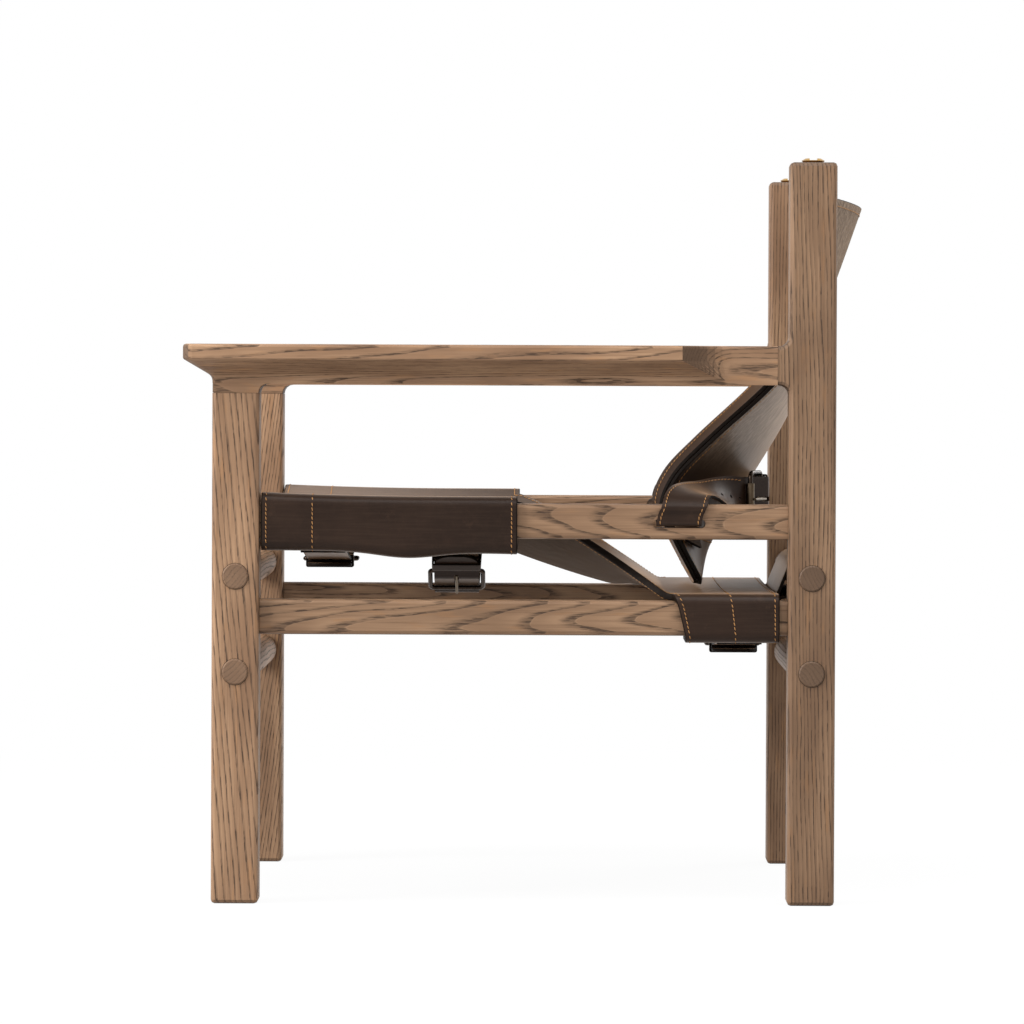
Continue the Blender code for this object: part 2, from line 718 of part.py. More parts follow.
def smooth_through(points, steps):
    """A smooth curve through points, with steps runs from each to the next; uneven spacing is allowed."""
    points = [Vector(point) for point in points]
    knots = [0]
    for here, there in zip(points, points[1:]):
        knots.append(knots[-1] + math.sqrt((there - here).length))
    slopes = []
    for number in range(len(points)):
        before, after = max(number - 1, 0), min(number + 1, len(points) - 1)
        slopes.append((points[after] - points[before]) / (knots[after] - knots[before]))
    curve = []
    for number in range(len(points) - 1):
        run = knots[number + 1] - knots[number]
        for step in range(steps):
            t = step / steps
            curve.append(
                (2 * t**3 - 3 * t**2 + 1) * points[number]
                + (t**3 - 2 * t**2 + t) * run * slopes[number]
                + (3 * t**2 - 2 * t**3) * points[number + 1]
                + (t**3 - t**2) * run * slopes[number + 1]
            )
    return [*curve, points[-1]]


def even_steps(values, steps):
    """Directions that turn evenly from each of values to the next, with steps runs between them."""
    turned_values = []
    for here, there in zip(values, values[1:]):
        turned_values += [here.lerp(there, step / steps) for step in range(steps)]
    return [*turned_values, values[-1]]


def smooth_value(table, share):
    """The value at share on a smooth curve through a table of (share, value) pairs."""
    here = max(index for index, (place, _) in enumerate(table[:-1]) if place <= share or not index)
    (start, low), (end, high) = table[here], table[here + 1]
    before, after = table[max(here - 1, 0)], table[min(here + 2, len(table) - 1)]
    run = end - start
    rise_in = run * (high - before[1]) / (end - before[0])
    rise_out = run * (after[1] - low) / (after[0] - start)
    t = (share - start) / run
    return (
        (2 * t**3 - 3 * t**2 + 1) * low
        + (t**3 - 2 * t**2 + t) * rise_in
        + (3 * t**2 - 2 * t**3) * high
        + (t**3 - t**2) * rise_out
    )


def surface_mesh(name, rows, keep=lambda row, column: True):
    """An open surface through rows of points; a face that keep(row, column) refuses is left out."""
    across = len(rows[0])
    bm = bmesh.new()
    bmesh.ops.create_grid(bm, x_segments=across - 1, y_segments=len(rows) - 1, size=1)
    bm.verts.ensure_lookup_table()
    bm.faces.ensure_lookup_table()
    for row, points in enumerate(rows):
        for column, point in enumerate(points):
            bm.verts[row * across + column].co = point
    dropped = [
        face for face in bm.faces if not keep(face.index // (across - 1), face.index % (across - 1))
    ]
    bmesh.ops.delete(bm, geom=dropped, context="FACES")
    return mesh_from(bm, name, math.radians(50))


def thicken(piece, thickness):
    solidify = piece.modifiers.new("leather", "SOLIDIFY")
    solidify.thickness = thickness
    solidify.offset = 0
    solidify.use_even_offset = True
    solidify.use_quality_normals = True


def ribbon_rows(path, widths, width):
    """Rows of three points across a strap whose middle runs along path."""
    rows = []
    for point, across in zip(path, widths):
        half = Vector(across).normalized() * width / 2
        rows.append([point - half, point, point + half])
    return rows


class SeatSling:
    """The seat: a sheet whose rows run from front to rear and whose columns run from flap to flap."""

    CENTRE_COLUMNS = 8
    ROWS_IN_FRONT = 4
    ROWS_AT_WAIST = 5
    ROWS_BEHIND = 3
    STEPS = (1, 2, 2)

    def __init__(self):
        self.lift = SEAT_GAP + SEAT_LEATHER / 2
        self.inner_x = LEG_X - RAIL_THICKNESS / 2
        self.outer_x = LEG_X + RAIL_THICKNESS / 2
        self.edge_x = self.inner_x - SEAT_FREE_EDGE_INSET
        self.front = RAIL_START_Y + SEAT_FRONT_CLEARANCE
        self.waist_start = self.front + SEAT_FRONT_WRAP
        self.rear = RAIL_END_Y - SEAT_REAR_CLEARANCE
        self.waist_end = self.rear - SEAT_REAR_WRAP

    def rail_profile(self, rail_height, slack, sag):
        """(x, z) from the middle of the seat outwards, over a rail, down its outer face and under it."""
        top = rail_height + RAIL_HEIGHT / 2 - RAIL_EDGE
        bottom = rail_height - RAIL_HEIGHT / 2 + RAIL_EDGE - slack
        radius = RAIL_EDGE + self.lift
        crown = top + radius
        inner, outer = self.inner_x + RAIL_EDGE, self.outer_x - RAIL_EDGE
        lean = math.atan(2 * sag / inner)
        leave_x = inner - radius * math.sin(lean)
        leave_z = top + radius * math.cos(lean)
        lowest = crown - sag
        profile = []
        for column in range(self.CENTRE_COLUMNS + 1):
            x = self.edge_x * column / self.CENTRE_COLUMNS
            profile.append((x, lowest + (leave_z - lowest) * (x / leave_x) ** 2))
        upright = math.pi / 2
        profile += corner((inner, top), radius, upright + lean, upright, self.STEPS[0])
        profile += corner((outer, top), radius, upright, 0, self.STEPS[1])
        profile += corner((outer, bottom), radius, 0, -upright, self.STEPS[2])
        flap = bottom - radius
        return [*profile, (mix(outer, SEAT_FLAP_END_X, 0.5), flap), (SEAT_FLAP_END_X, flap)]

    def front_profile(self, share):
        """The profile at a share of the way from the seat's nose to the end of the front wrap."""
        sag = mix(SEAT_SAG_AT_NOSE, SEAT_SAG_AT_WAIST, share**2)
        return self.rail_profile(UPPER_RAIL_HEIGHT, SEAT_FRONT_SLACK, sag)

    def rear_profile(self):
        return self.rail_profile(LOWER_RAIL_HEIGHT, 0, SEAT_SAG_AT_REAR)

    def waist_profile(self, share):
        """The profile between the wraps, where the sheet's edges are free; its wrap columns are folded up."""
        before, after = self.front_profile(1), self.rear_profile()
        lowest = mix(before[0][1], after[0][1], share)
        edge = self.CENTRE_COLUMNS
        high = mix(after[edge][1], before[edge][1], (1 - share) ** SEAT_FALL_POWER)
        reach = self.edge_x - SEAT_WAIST_INSET * 4 * share * (1 - share)
        profile = []
        for column in range(edge + 1):
            part = column / edge
            profile.append((reach * part, lowest + (high - lowest) * part**2))
        return profile + [profile[-1]] * (len(before) - len(profile))

    def rows(self):
        """All rows of points, and the numbers of the rows where the wraps end and start."""
        found = []
        for step in range(self.ROWS_IN_FRONT + 1):
            share = step / self.ROWS_IN_FRONT
            found.append((mix(self.front, self.waist_start, share), self.front_profile(share), 0))
        for step in range(1, self.ROWS_AT_WAIST):
            share = step / self.ROWS_AT_WAIST
            found.append((mix(self.waist_start, self.waist_end, share), self.waist_profile(share), 0))
        for step in range(self.ROWS_BEHIND + 1):
            share = step / self.ROWS_BEHIND
            slant = SEAT_REAR_SLANT * (1 - share)
            found.append((mix(self.waist_end, self.rear, share), self.rear_profile(), slant))
        return [self.full_row(y, profile, slant) for y, profile, slant in found]

    def full_row(self, y, profile, slant):
        left = []
        for column, (x, z) in enumerate(profile):
            down = max(column - self.CENTRE_COLUMNS, 0) / (len(profile) - 1 - self.CENTRE_COLUMNS)
            left.append(Vector((x, y + slant * min(down * 1.6, 1), z)))
        right = [Vector((-point.x, point.y, point.z)) for point in reversed(left[1:])]
        return right + left

    def build(self, shop):
        rows = self.rows()
        side_columns = (len(rows[0]) - 1) // 2 - self.CENTRE_COLUMNS
        last_in_front = self.ROWS_IN_FRONT
        first_behind = self.ROWS_IN_FRONT + self.ROWS_AT_WAIST

        def keep(row, column):
            in_wrap = column < side_columns or column >= side_columns + 2 * self.CENTRE_COLUMNS
            return not in_wrap or row < last_in_front or row >= first_behind

        sling = shop.part("seat_sling", surface_mesh("seat_sling", rows, keep), LEATHER)
        thicken(sling, SEAT_LEATHER)
        self.build_rear_loop(shop)

    def build_rear_loop(self, shop):
        """A sleeve sewn under the seat's rear edge, which goes round the rear upper cross bar."""
        edge = (self.rear, self.rear_profile()[0][1] - SEAT_LEATHER / 2)
        inner = SEAT_GAP + LOOP_LEATHER / 2
        outer = inner + LOOP_LEATHER + 2 * SEAT_GAP
        bar = (POST_Y, UPPER_CROSS_HEIGHT)
        radius = CROSS_BAR_DIAMETER / 2 + inner

        def touch(reach, way):
            """The angle at which a straight run from beside the seat's edge touches the cross bar."""
            run = Vector((edge[0] + reach - bar[0], edge[1] - bar[1]))
            return math.atan2(run.y, run.x) + way * math.acos(radius / run.length)

        down = -math.pi / 2
        wrap = corner(bar, radius, touch(inner, -1) + 2 * math.pi, touch(outer, 1), 8)
        path = [(edge[0] - LOOP_TAIL, edge[1] - inner), *corner(edge, inner, down, 0, 2), *wrap]
        path += [*corner(edge, outer, 0, down, 2), (edge[0] - LOOP_TAIL, edge[1] - outer)]
        middle = [Vector((0, y, z)) for y, z in path]
        rows = ribbon_rows(middle, [(1, 0, 0)] * len(middle), LOOP_WIDTH)
        loop = shop.part("seat_rear_loop", surface_mesh("seat_rear_loop", rows), LEATHER)
        thicken(loop, LOOP_LEATHER)


class BackSling:
    """The back: a sheet between the posts. down goes from 0 at its top edge to 1 at its bottom edge,
    and across from -1 at the right side edge to 1 at the left."""

    COLUMNS = 8
    ROWS_IN_HEM = 3
    ROWS_LINED = 8
    CENTRE_SHARES = ((0, 1), (0.19, 0.845), (0.53, 0.548), (0.71, 0.312), (0.89, 0.065), (1, 0))
    EDGE_SHARES = (
        (0, 0),
        (0.36, 0),
        (0.49, 0.28),
        (0.64, 0.7),
        (0.73, 0.92),
        (0.82, 1),
        (0.9, 0.9),
        (1, 0.76),
    )
    NARROWING_SHARES = ((0, 0), (0.36, 0), (0.49, 0.42), (0.64, 0.87), (0.73, 1), (1, 1))

    def __init__(self):
        self.corner_height = BACK_CORNER_HEIGHT
        self.hem_share = BACK_HEM_LENGTH / BACK_EDGE_HEIGHT
        self.hem_end_x = LEG_X - HEM_BORE_RADIUS - HEM_LAYER / 2
        start = (BACK_LINING_DROP - BACK_TOP_DROP) / BACK_EDGE_HEIGHT
        self.lined_rows = [mix(start, 1, row / self.ROWS_LINED) for row in range(self.ROWS_LINED + 1)]

    def side_edge(self, down):
        """(x, y, z) of the left side edge."""
        if down <= self.hem_share:
            forward = narrowing = 0
        else:
            forward = max(smooth_value(self.EDGE_SHARES, down), 0)
            narrowing = max(smooth_value(self.NARROWING_SHARES, down), 0)
        x = mix(BACK_FREE_EDGE_X, BACK_LOWER_EDGE_X, narrowing)
        return x, POST_Y - BACK_EDGE_FORWARD * forward, self.corner_height - BACK_EDGE_HEIGHT * down

    def centre(self, down):
        """(y, z) of the middle line."""
        back = smooth_value(self.CENTRE_SHARES, down)
        height = self.corner_height - BACK_TOP_DIP - BACK_CENTRE_HEIGHT * down
        return POST_Y + mix(-BACK_CENTRE_FORWARD, BACK_BULGE, back), height

    def point(self, down, across):
        edge_x, edge_y, edge_z = self.side_edge(down)
        centre_y, centre_z = self.centre(down)
        y = mix(centre_y, edge_y, abs(across) ** BACK_CROSS_POWER)
        return Vector((edge_x * across, y, mix(centre_z, edge_z, across**2)))

    def behind(self, down, across, distance):
        """The point at a distance behind the sheet's middle surface, square to it."""
        step = 0.01
        above, below = max(down - step, 0), min(down + step, 1)
        right, left = max(across - step, -1), min(across + step, 1)
        along = self.point(below, across) - self.point(above, across)
        over = self.point(down, left) - self.point(down, right)
        return self.point(down, across) + along.cross(over).normalized() * -distance

    def resting(self, down, across, distance):
        """The same on the flat faces between the lined rows, so that a layer lies clear of them."""
        place = (down - self.lined_rows[0]) / (1 - self.lined_rows[0]) * self.ROWS_LINED
        row = min(int(place), self.ROWS_LINED - 1)
        upper = self.behind(self.lined_rows[row], across, distance)
        lower = self.behind(self.lined_rows[row + 1], across, distance)
        return upper.lerp(lower, place - row)

    def build(self, shop):
        shares = [self.hem_share * row / self.ROWS_IN_HEM for row in range(self.ROWS_IN_HEM + 1)]
        shares += self.lined_rows
        span = range(-self.COLUMNS, self.COLUMNS + 1)
        rows = []
        for down in shares:
            row = [self.point(down, column / self.COLUMNS) for column in span]
            tab = Vector((self.hem_end_x, row[-1].y, row[-1].z))
            rows.append([Vector((-tab.x, tab.y, tab.z)), *row, tab])
        last = len(rows[0]) - 2

        def keep(row, column):
            return row < self.ROWS_IN_HEM or 0 < column < last

        sling = shop.part("back_sling", surface_mesh("back_sling", rows, keep), LEATHER)
        thicken(sling, BACK_LEATHER)
        for side, sign in SIDES.items():
            top = self.corner_height - SEAT_GAP
            foot = self.corner_height - BACK_HEM_LENGTH + SEAT_GAP
            ends = (sign * LEG_X, POST_Y, foot), (sign * LEG_X, POST_Y, top)
            hem = rod_mesh(f"{side}_hem", HEM_RADIUS, *ends, ROUND_STEPS)
            boolean(sling, shop.helper(f"{side}_hem", hem), "UNION")
            low = (sign * LEG_X, POST_Y, foot - CUT_OVERRUN)
            high = (sign * LEG_X, POST_Y, top + CUT_OVERRUN)
            bore = rod_mesh(f"{side}_hem_bore", HEM_BORE_RADIUS, low, high, ROUND_STEPS)
            boolean(sling, shop.helper(f"{side}_hem_bore", bore))
        self.build_lining(shop)

    def build_lining(self, shop):
        """The second layer behind the lower part of the sling, flush with its edges."""
        span = [column / self.COLUMNS for column in range(-self.COLUMNS, self.COLUMNS + 1)]
        apart = BACK_LEATHER + LAYER_GAP
        rows = [[self.behind(down, across, apart) for across in span] for down in self.lined_rows]
        lining = shop.part("back_lining", surface_mesh("back_lining", rows), LEATHER)
        thicken(lining, BACK_LEATHER)


@dataclass(frozen=True)
class Buckle:
    """A heel-bar buckle with its two straps.

    place puts the middle of the heel bar at the origin of the buckle's own frame, whose +X points to the
    front bar and whose +Z points away from the sitter.
    """

    name: str
    place: Matrix
    has_roller: bool = False
    tail_end: float = BUCKLE_TAIL_END
    fold_end: float = BUCKLE_FOLD_END
    keeper_place: float = KEEPER_PLACE
    strap_turn: float = 0.0
    leaving: float = TAIL_LEAVING

    @property
    def strap_place(self):
        """The folded strap's frame: it may turn about the heel bar."""
        return self.place @ Matrix.Rotation(-self.strap_turn, 4, "Y")

    @property
    def bar(self):
        return BUCKLE_WIRE / 2

    @property
    def front_radius(self):
        """The radius of what the strap goes round at the front bar."""
        return self.bar + SEAT_GAP + ROLLER_WALL if self.has_roller else self.bar

    @property
    def layer_offset(self):
        return (STRAP_LEATHER + SEAT_GAP) / 2

    def on_strap(self, points):
        return [self.strap_place @ Vector((along, 0, out)) for along, out in points]

    def build(self, shop):
        carrier = shop.empty(f"{self.name}_heel_bar", self.place)
        self.build_frame(shop, carrier)
        self.build_prong(shop, carrier)
        self.build_keeper(shop, shop.empty(f"{self.name}_fold", self.strap_place))
        if self.has_roller:
            self.build_roller(shop)

    def build_frame(self, shop, carrier):
        half = BUCKLE_WIDTH / 2
        front, heel = BUCKLE_FRONT_CORNER, BUCKLE_HEEL_CORNER
        quarter = math.pi / 2
        outline = arc((BUCKLE_LENGTH - front, half - front), front, 0, quarter, 3)
        outline += arc((heel, half - heel), heel, quarter, 2 * quarter, 3)
        outline += [(x, -y) for x, y in reversed(outline)]
        name = f"{self.name}_buckle_frame"
        curve = bpy.data.curves.new(name, "CURVE")
        curve.dimensions = "3D"
        curve.bevel_depth = self.bar
        curve.bevel_resolution = 2
        line = curve.splines.new("POLY")
        line.points.add(len(outline) - 1)
        for point, (x, y) in zip(line.points, outline):
            point.co = (x, y, 0, 1)
        line.use_cyclic_u = True
        shop.part(name, curve, GUNMETAL, carrier)

    def build_prong(self, shop, carrier):
        """The prong turns about the heel bar, which is the origin of its object."""
        name = f"{self.name}_buckle_prong"
        rest = self.front_radius + SEAT_GAP + PRONG_TIP_RADIUS
        half = PRONG_EYE_WIDTH / 2
        eye = rod_mesh(name, PRONG_EYE_RADIUS, (0, -half, 0), (0, half, 0), ROUND_STEPS)
        prong = shop.part(name, eye, NICKEL, carrier)
        bm = bmesh.new()
        start = Vector((self.bar, 0, rest))
        end = Vector((BUCKLE_LENGTH + PRONG_OVERHANG, 0, rest))
        turn = Vector((1, 0, 0)).to_track_quat("Z", "Y").to_matrix().to_4x4()
        bmesh.ops.create_cone(
            bm,
            cap_ends=True,
            segments=12,
            radius1=PRONG_ROOT_RADIUS,
            radius2=PRONG_TIP_RADIUS,
            depth=(end - start).length,
            matrix=Matrix.Translation((start + end) / 2) @ turn,
        )
        arm = shop.helper(f"{name}_arm", mesh_from(bm, f"{name}_arm"), carrier)
        boolean(prong, arm, "UNION")
        reach = half + CUT_OVERRUN
        bore = rod_mesh(f"{name}_bore", self.bar + SEAT_GAP, (0, -reach, 0), (0, reach, 0), ROUND_STEPS)
        boolean(prong, shop.helper(f"{name}_bore", bore, carrier))

    def build_roller(self, shop):
        """A tube that turns on the front bar; its origin is on the bar."""
        name = f"{self.name}_buckle_roller"
        carrier = shop.empty(f"{self.name}_front_bar", self.place @ Matrix.Translation((BUCKLE_LENGTH, 0, 0)))
        half = ROLLER_LENGTH / 2
        tube = rod_mesh(name, self.front_radius, (0, -half, 0), (0, half, 0), ROUND_STEPS)
        roller = shop.part(name, tube, NICKEL, carrier)
        reach = half + CUT_OVERRUN
        bore = rod_mesh(f"{name}_bore", self.bar + SEAT_GAP, (0, -reach, 0), (0, reach, 0), ROUND_STEPS)
        boolean(roller, shop.helper(f"{name}_bore", bore, carrier))

    def build_keeper(self, shop, carrier):
        """A leather band round both layers of the folded strap and the strap's tail."""
        name = f"{self.name}_keeper"
        low = -self.layer_offset - STRAP_LEATHER / 2 - SEAT_GAP
        high = self.tail_offset + STRAP_LEATHER / 2 + SEAT_GAP
        inner = STRAP_WIDTH / 2 + FIT_GAP
        size = (KEEPER_WIDTH, 2 * (inner + KEEPER_LEATHER), high - low + 2 * KEEPER_LEATHER)
        centre = (self.keeper_place, 0, (low + high) / 2)
        band = shop.part(name, block_mesh(name, size, centre, KEEPER_LEATHER / 2), LEATHER, carrier)
        opening = (KEEPER_WIDTH + CUT_OVERRUN, 2 * inner, high - low)
        tool = block_mesh(f"{name}_opening", opening, centre)
        boolean(band, shop.helper(f"{name}_opening", tool, carrier))

    @property
    def tail_offset(self):
        """How far out the tail lies on the folded strap."""
        return self.layer_offset + STRAP_LEATHER + SEAT_GAP

    def fold(self):
        """The folded end of the strap that holds the frame: along the inside, round the bar and back."""
        radius = self.bar + SEAT_GAP + STRAP_LEATHER / 2
        turn = math.radians(140)
        loop = corner((0, 0), radius, -turn, turn, 7)
        flat = -2 * radius
        path = [(self.fold_end, -self.layer_offset), (flat, -self.layer_offset), *loop]
        path += [(flat, self.layer_offset), (self.fold_end, self.layer_offset)]
        return self.on_strap(path)

    def threaded(self):
        """The tail from its free end, over the heel bar and under the front bar."""
        over = self.bar + SEAT_GAP + STRAP_LEATHER + 2 * FIT_GAP + STRAP_LEATHER / 2
        under = self.front_radius + FIT_GAP + STRAP_LEATHER / 2
        slant = math.asin((over + under) / BUCKLE_LENGTH)
        upright = math.pi / 2
        flat = -1.6 * over
        path = [(mix(self.tail_end, flat, share), self.tail_offset) for share in (0, 0.15, 0.6, 1)]
        bent = corner((0, 0), over, math.radians(115) + self.strap_turn, upright - slant, 2)
        bent += corner((BUCKLE_LENGTH, 0), under, -upright - slant, -upright + self.leaving, 1)
        return self.on_strap(path) + [self.place @ Vector((along, 0, out)) for along, out in bent]

    def cut_fold_slot(self, shop, strap):
        """The opening in the fold for the prong's eye."""
        reach = PRONG_EYE_RADIUS + FIT_GAP
        size = (2 * reach + BUCKLE_WIRE, PRONG_EYE_WIDTH + 2 * FIT_GAP, 4 * STRAP_LEATHER + BUCKLE_WIRE)
        mesh = block_mesh(f"{self.name}_eye_slot", size, (BUCKLE_WIRE / 2, 0, 0))
        tool = shop.helper(f"{self.name}_eye_slot", mesh)
        tool.matrix_local = self.place
        boolean(strap, tool)

    def cut_prong_slot(self, shop, strap):
        """The slit in the tail that the prong goes up through, long enough to let the prong lift."""
        size = (PRONG_SLIT_END - PRONG_SLIT_START, 2 * PRONG_ROOT_RADIUS + 2 * FIT_GAP, 8 * STRAP_LEATHER)
        mesh = block_mesh(f"{self.name}_prong_slit", size, (mix(PRONG_SLIT_START, PRONG_SLIT_END, 0.5), 0, 0))
        tool = shop.helper(f"{self.name}_prong_slit", mesh)
        tool.matrix_local = self.place
        boolean(strap, tool)


def build_strap(shop, name, path, widths, thickness=STRAP_LEATHER, pointed=False, ends=()):
    """A strap along path; ends are further rows of three points, already in place."""
    rows = [*ribbon_rows(path, widths, STRAP_WIDTH), *ends]
    if pointed:
        rows[0] = ribbon_rows(path[:2], widths[:2], STRAP_WIDTH * STRAP_TIP_SHARE)[0]
    strap = shop.part(name, surface_mesh(name, rows), LEATHER)
    thicken(strap, thickness)
    return strap


def lengthwise_holes(shop, strap, path, widths, distances):
    """Round holes through a strap, at distances along its path from its first point."""
    for number, distance in enumerate(distances, start=1):
        left = distance
        for here, there, across in zip(path, path[1:], widths):
            run = (there - here).length
            if left <= run:
                along = (there - here).normalized()
                middle = here + along * left
                through = along.cross(Vector(across).normalized()) * 3 * STRAP_LEATHER
                name = f"{strap.name}_hole_{number}"
                hole = rod_mesh(name, STRAP_HOLE / 2, middle - through, middle + through, 11)
                boolean(strap, shop.helper(name, hole))
                break
            left -= run


@dataclass(frozen=True)
class UnderStrap:
    """Two straps and a buckle that pull the seat's flaps together, at one place along the seat."""

    name: str
    y: float
    heel_x: float
    heel_drop: float
    tilt: float
    flap_under: float
    tail_end: float = BUCKLE_TAIL_END
    fold_end: float = BUCKLE_FOLD_END
    keeper_place: float = KEEPER_PLACE
    leaving: float = TAIL_LEAVING
    sewn_from: float = SEAT_FLAP_END_X

    def build(self, shop):
        sewn = self.flap_under - SEAT_GAP - STRAP_LEATHER / 2
        turn = Matrix.Rotation(math.pi - self.tilt, 4, "Y")
        place = Matrix.Translation((self.heel_x, self.y, sewn - self.heel_drop)) @ turn
        buckle = Buckle(
            self.name,
            place,
            tail_end=self.tail_end,
            fold_end=self.fold_end,
            keeper_place=self.keeper_place,
            leaving=self.leaving,
        )
        buckle.build(shop)
        across = (0, 1, 0)

        fold = buckle.fold()
        lead = smooth_through([(self.sewn_from, self.y, sewn), fold[0], fold[1]], 4)
        path = [Vector((STRAP_SEWN_TO, self.y, sewn)), *lead[:-5], *fold]
        name = f"{self.name}_buckle_strap"
        strap = build_strap(shop, name, path, [across] * len(path))
        buckle.cut_fold_slot(shop, strap)

        threaded = buckle.threaded()
        heading = (threaded[-1] - threaded[-2]).normalized()
        straight = threaded[-1] + heading * STRAP_KNEE / 3
        knee = threaded[-1] + heading * STRAP_KNEE
        lead = smooth_through([straight, knee, (-SEAT_FLAP_END_X, self.y, sewn)], 5)
        path = [*threaded, *lead, Vector((-STRAP_SEWN_TO, self.y, sewn))]
        name = f"{self.name}_tail_strap"
        strap = build_strap(shop, name, path, [across] * len(path), pointed=True)
        buckle.cut_prong_slot(shop, strap)
        start = -self.tail_end + BUCKLE_LENGTH + STRAP_HOLE_SPACING
        holes = [start + STRAP_HOLE_SPACING * number for number in range(STRAP_HOLE_COUNT)]
        lengthwise_holes(shop, strap, path, [across] * len(path), holes)


class BackBelt:
    """The belt behind the back sling, and the straps that pull the sling's sides out to the rails."""

    SAMPLES = 40
    SEWN_ROW = 6
    TWIST_SHARES = (0.0, 0.05, 0.3)
    LEAD_SHARES = ((0.33, (0, 0.5, -0.85)), (0.68, (0.2, 0.8, -0.5)))

    def __init__(self, sling):
        self.sling = sling
        self.layer = BACK_LEATHER * 1.5 + 2 * LAYER_GAP + STRAP_LEATHER / 2
        top = BELT_HEIGHT + STRAP_WIDTH / 2 + STRAP_LEATHER
        rests = [
            sling.behind(down / self.SAMPLES, across / self.SAMPLES, self.layer)
            for down in range(self.SAMPLES)
            for across in range(self.SAMPLES)
        ]
        self.middle_y = SEAT_GAP + max(point.y for point in rests if point.z < top)

    def buckle(self, side, sign):
        tilt = Matrix.Rotation(-sign * BELT_TILT, 4, "Z")
        heel = Matrix.Translation((sign * BELT_BUCKLE_X, self.middle_y, BELT_HEIGHT))
        face_rear = Matrix(((sign, 0, 0, 0), (0, 0, 1, 0), (0, -sign, 0, 0), (0, 0, 0, 1)))
        place = heel @ tilt @ face_rear
        return Buckle(
            f"back_{side}", place, has_roller=True, strap_turn=BELT_TILT, leaving=BELT_TAIL_LEAVING
        )

    def rail_route(self):
        """Points and width directions of the left strap over the rail's top, and then into its slot."""
        face = LEG_X + RAIL_THICKNESS / 2
        inner_face = LEG_X - RAIL_THICKNESS / 2
        hug = SEAT_GAP + STRAP_LEATHER / 2 + FIT_GAP
        slot_y = RAIL_END_Y - STRAP_SLOT_TO_POST
        slot_top = UPPER_RAIL_HEIGHT - STRAP_SLOT_DROP + STRAP_SLOT_HEIGHT / 2
        top = UPPER_RAIL_HEIGHT + RAIL_HEIGHT / 2 + hug
        slight, some, much = self.TWIST_SHARES
        route = [
            ((mix(inner_face, face, 0.2), slot_y + 2 * STRAP_LEAN, top + STRAP_RISE), (0.1, 1, -much)),
            ((mix(inner_face, face, 0.72), slot_y + STRAP_LEAN, top + STRAP_RISE * 0.65), (0, 1, -some)),
            ((face + 2 * hug, slot_y + 0.6 * STRAP_LEAN, mix(slot_top, top, 0.72)), (0, 1, -slight)),
            ((face + hug, slot_y + 0.2 * STRAP_LEAN, mix(slot_top, top, 0.3)), (0, 1, 0)),
        ]
        bend = corner((face, slot_top), hug, 0, -math.pi / 2, 2)
        bend.append((mix(inner_face, face, 0.5), slot_top - hug))
        bend.append((mix(inner_face, face, -0.15), slot_top - hug))
        return route, [(Vector((x, slot_y, z)), (0, 1, 0)) for x, z in bend]

    def sewn_rows(self):
        """Rows of three points where the left strap is sewn behind the sling, from its edge inwards."""
        sling = self.sling
        down = sling.lined_rows[self.SEWN_ROW]
        step = 1 / sling.ROWS_LINED / 2
        span = (sling.point(down + step, 1) - sling.point(down - step, 1)).length
        half = STRAP_WIDTH * step / span
        rows = []
        for column, lift in enumerate((1.3 * STRAP_LEATHER, 0.8 * STRAP_LEATHER, 0.8 * STRAP_LEATHER)):
            across = 1 - column / sling.COLUMNS
            distance = self.layer + lift
            rows.append([sling.resting(down + half * side, across, distance) for side in (-1, 0, 1)])
        outside = [edge + (edge - inner) / 2 for edge, inner in zip(rows[0], rows[1])]
        return [outside, *rows]

    def build(self, shop):
        buckles = {side: self.buckle(side, sign) for side, sign in SIDES.items()}
        for buckle in buckles.values():
            buckle.build(shop)
        left, right = buckles["left"].fold(), buckles["right"].fold()
        middle = smooth_through([left[0], (0, self.middle_y, BELT_HEIGHT), right[0]], 4)
        path = [*reversed(left), *middle[1:-1], *right]
        belt = build_strap(shop, "back_belt", path, [(0, 0, -1)] * len(path))
        for buckle in buckles.values():
            buckle.cut_fold_slot(shop, belt)

        threaded = buckles["left"].threaded()
        over_rail, in_slot = self.rail_route()
        sewn = self.sewn_rows()
        start, landing = threaded[-1], Vector(over_rail[0][0])
        knee = start + (threaded[-1] - threaded[-2]).normalized() * STRAP_KNEE / 2
        heading = (landing - start).normalized()
        lead = []
        for share, width in self.LEAD_SHARES:
            width = Vector(width)
            lead.append((start.lerp(landing, share), width - heading * width.dot(heading)))
        down = (0, 0, -1)
        path, widths = list(threaded[:-1]), [down] * len(threaded[:-1])
        landings = [(row[1], row[2] - row[0]) for row in sewn[:2]]
        for stations in (
            [(start, down), (knee, down), *lead, *over_rail, in_slot[0]],
            [*in_slot[-2:], *landings],
        ):
            path += smooth_through([place for place, _ in stations], 2)[:-1]
            widths += even_steps([Vector(turn).normalized() for _, turn in stations], 2)[:-1]
            if stations[-1] is in_slot[0]:
                path += [place for place, _ in in_slot[:-2]]
                widths += [turn for _, turn in in_slot[:-2]]
        path, widths = path[:-2], widths[:-2]
        for side, sign in SIDES.items():
            mirror = Vector((sign, 1, 1))
            name = f"back_strap_{side}"
            here = [point * mirror for point in path]
            turned_widths = [Vector(width) * mirror for width in widths]
            ends = [[point * mirror for point in row] for row in sewn]
            strap = build_strap(shop, name, here, turned_widths, pointed=True, ends=ends)
            buckles[side].cut_prong_slot(shop, strap)
            first = BUCKLE_LENGTH - BUCKLE_TAIL_END + STRAP_HOLE_SPACING
            holes = [first + STRAP_HOLE_SPACING * number for number in range(STRAP_HOLE_COUNT)]
            lengthwise_holes(shop, strap, here, turned_widths, holes)


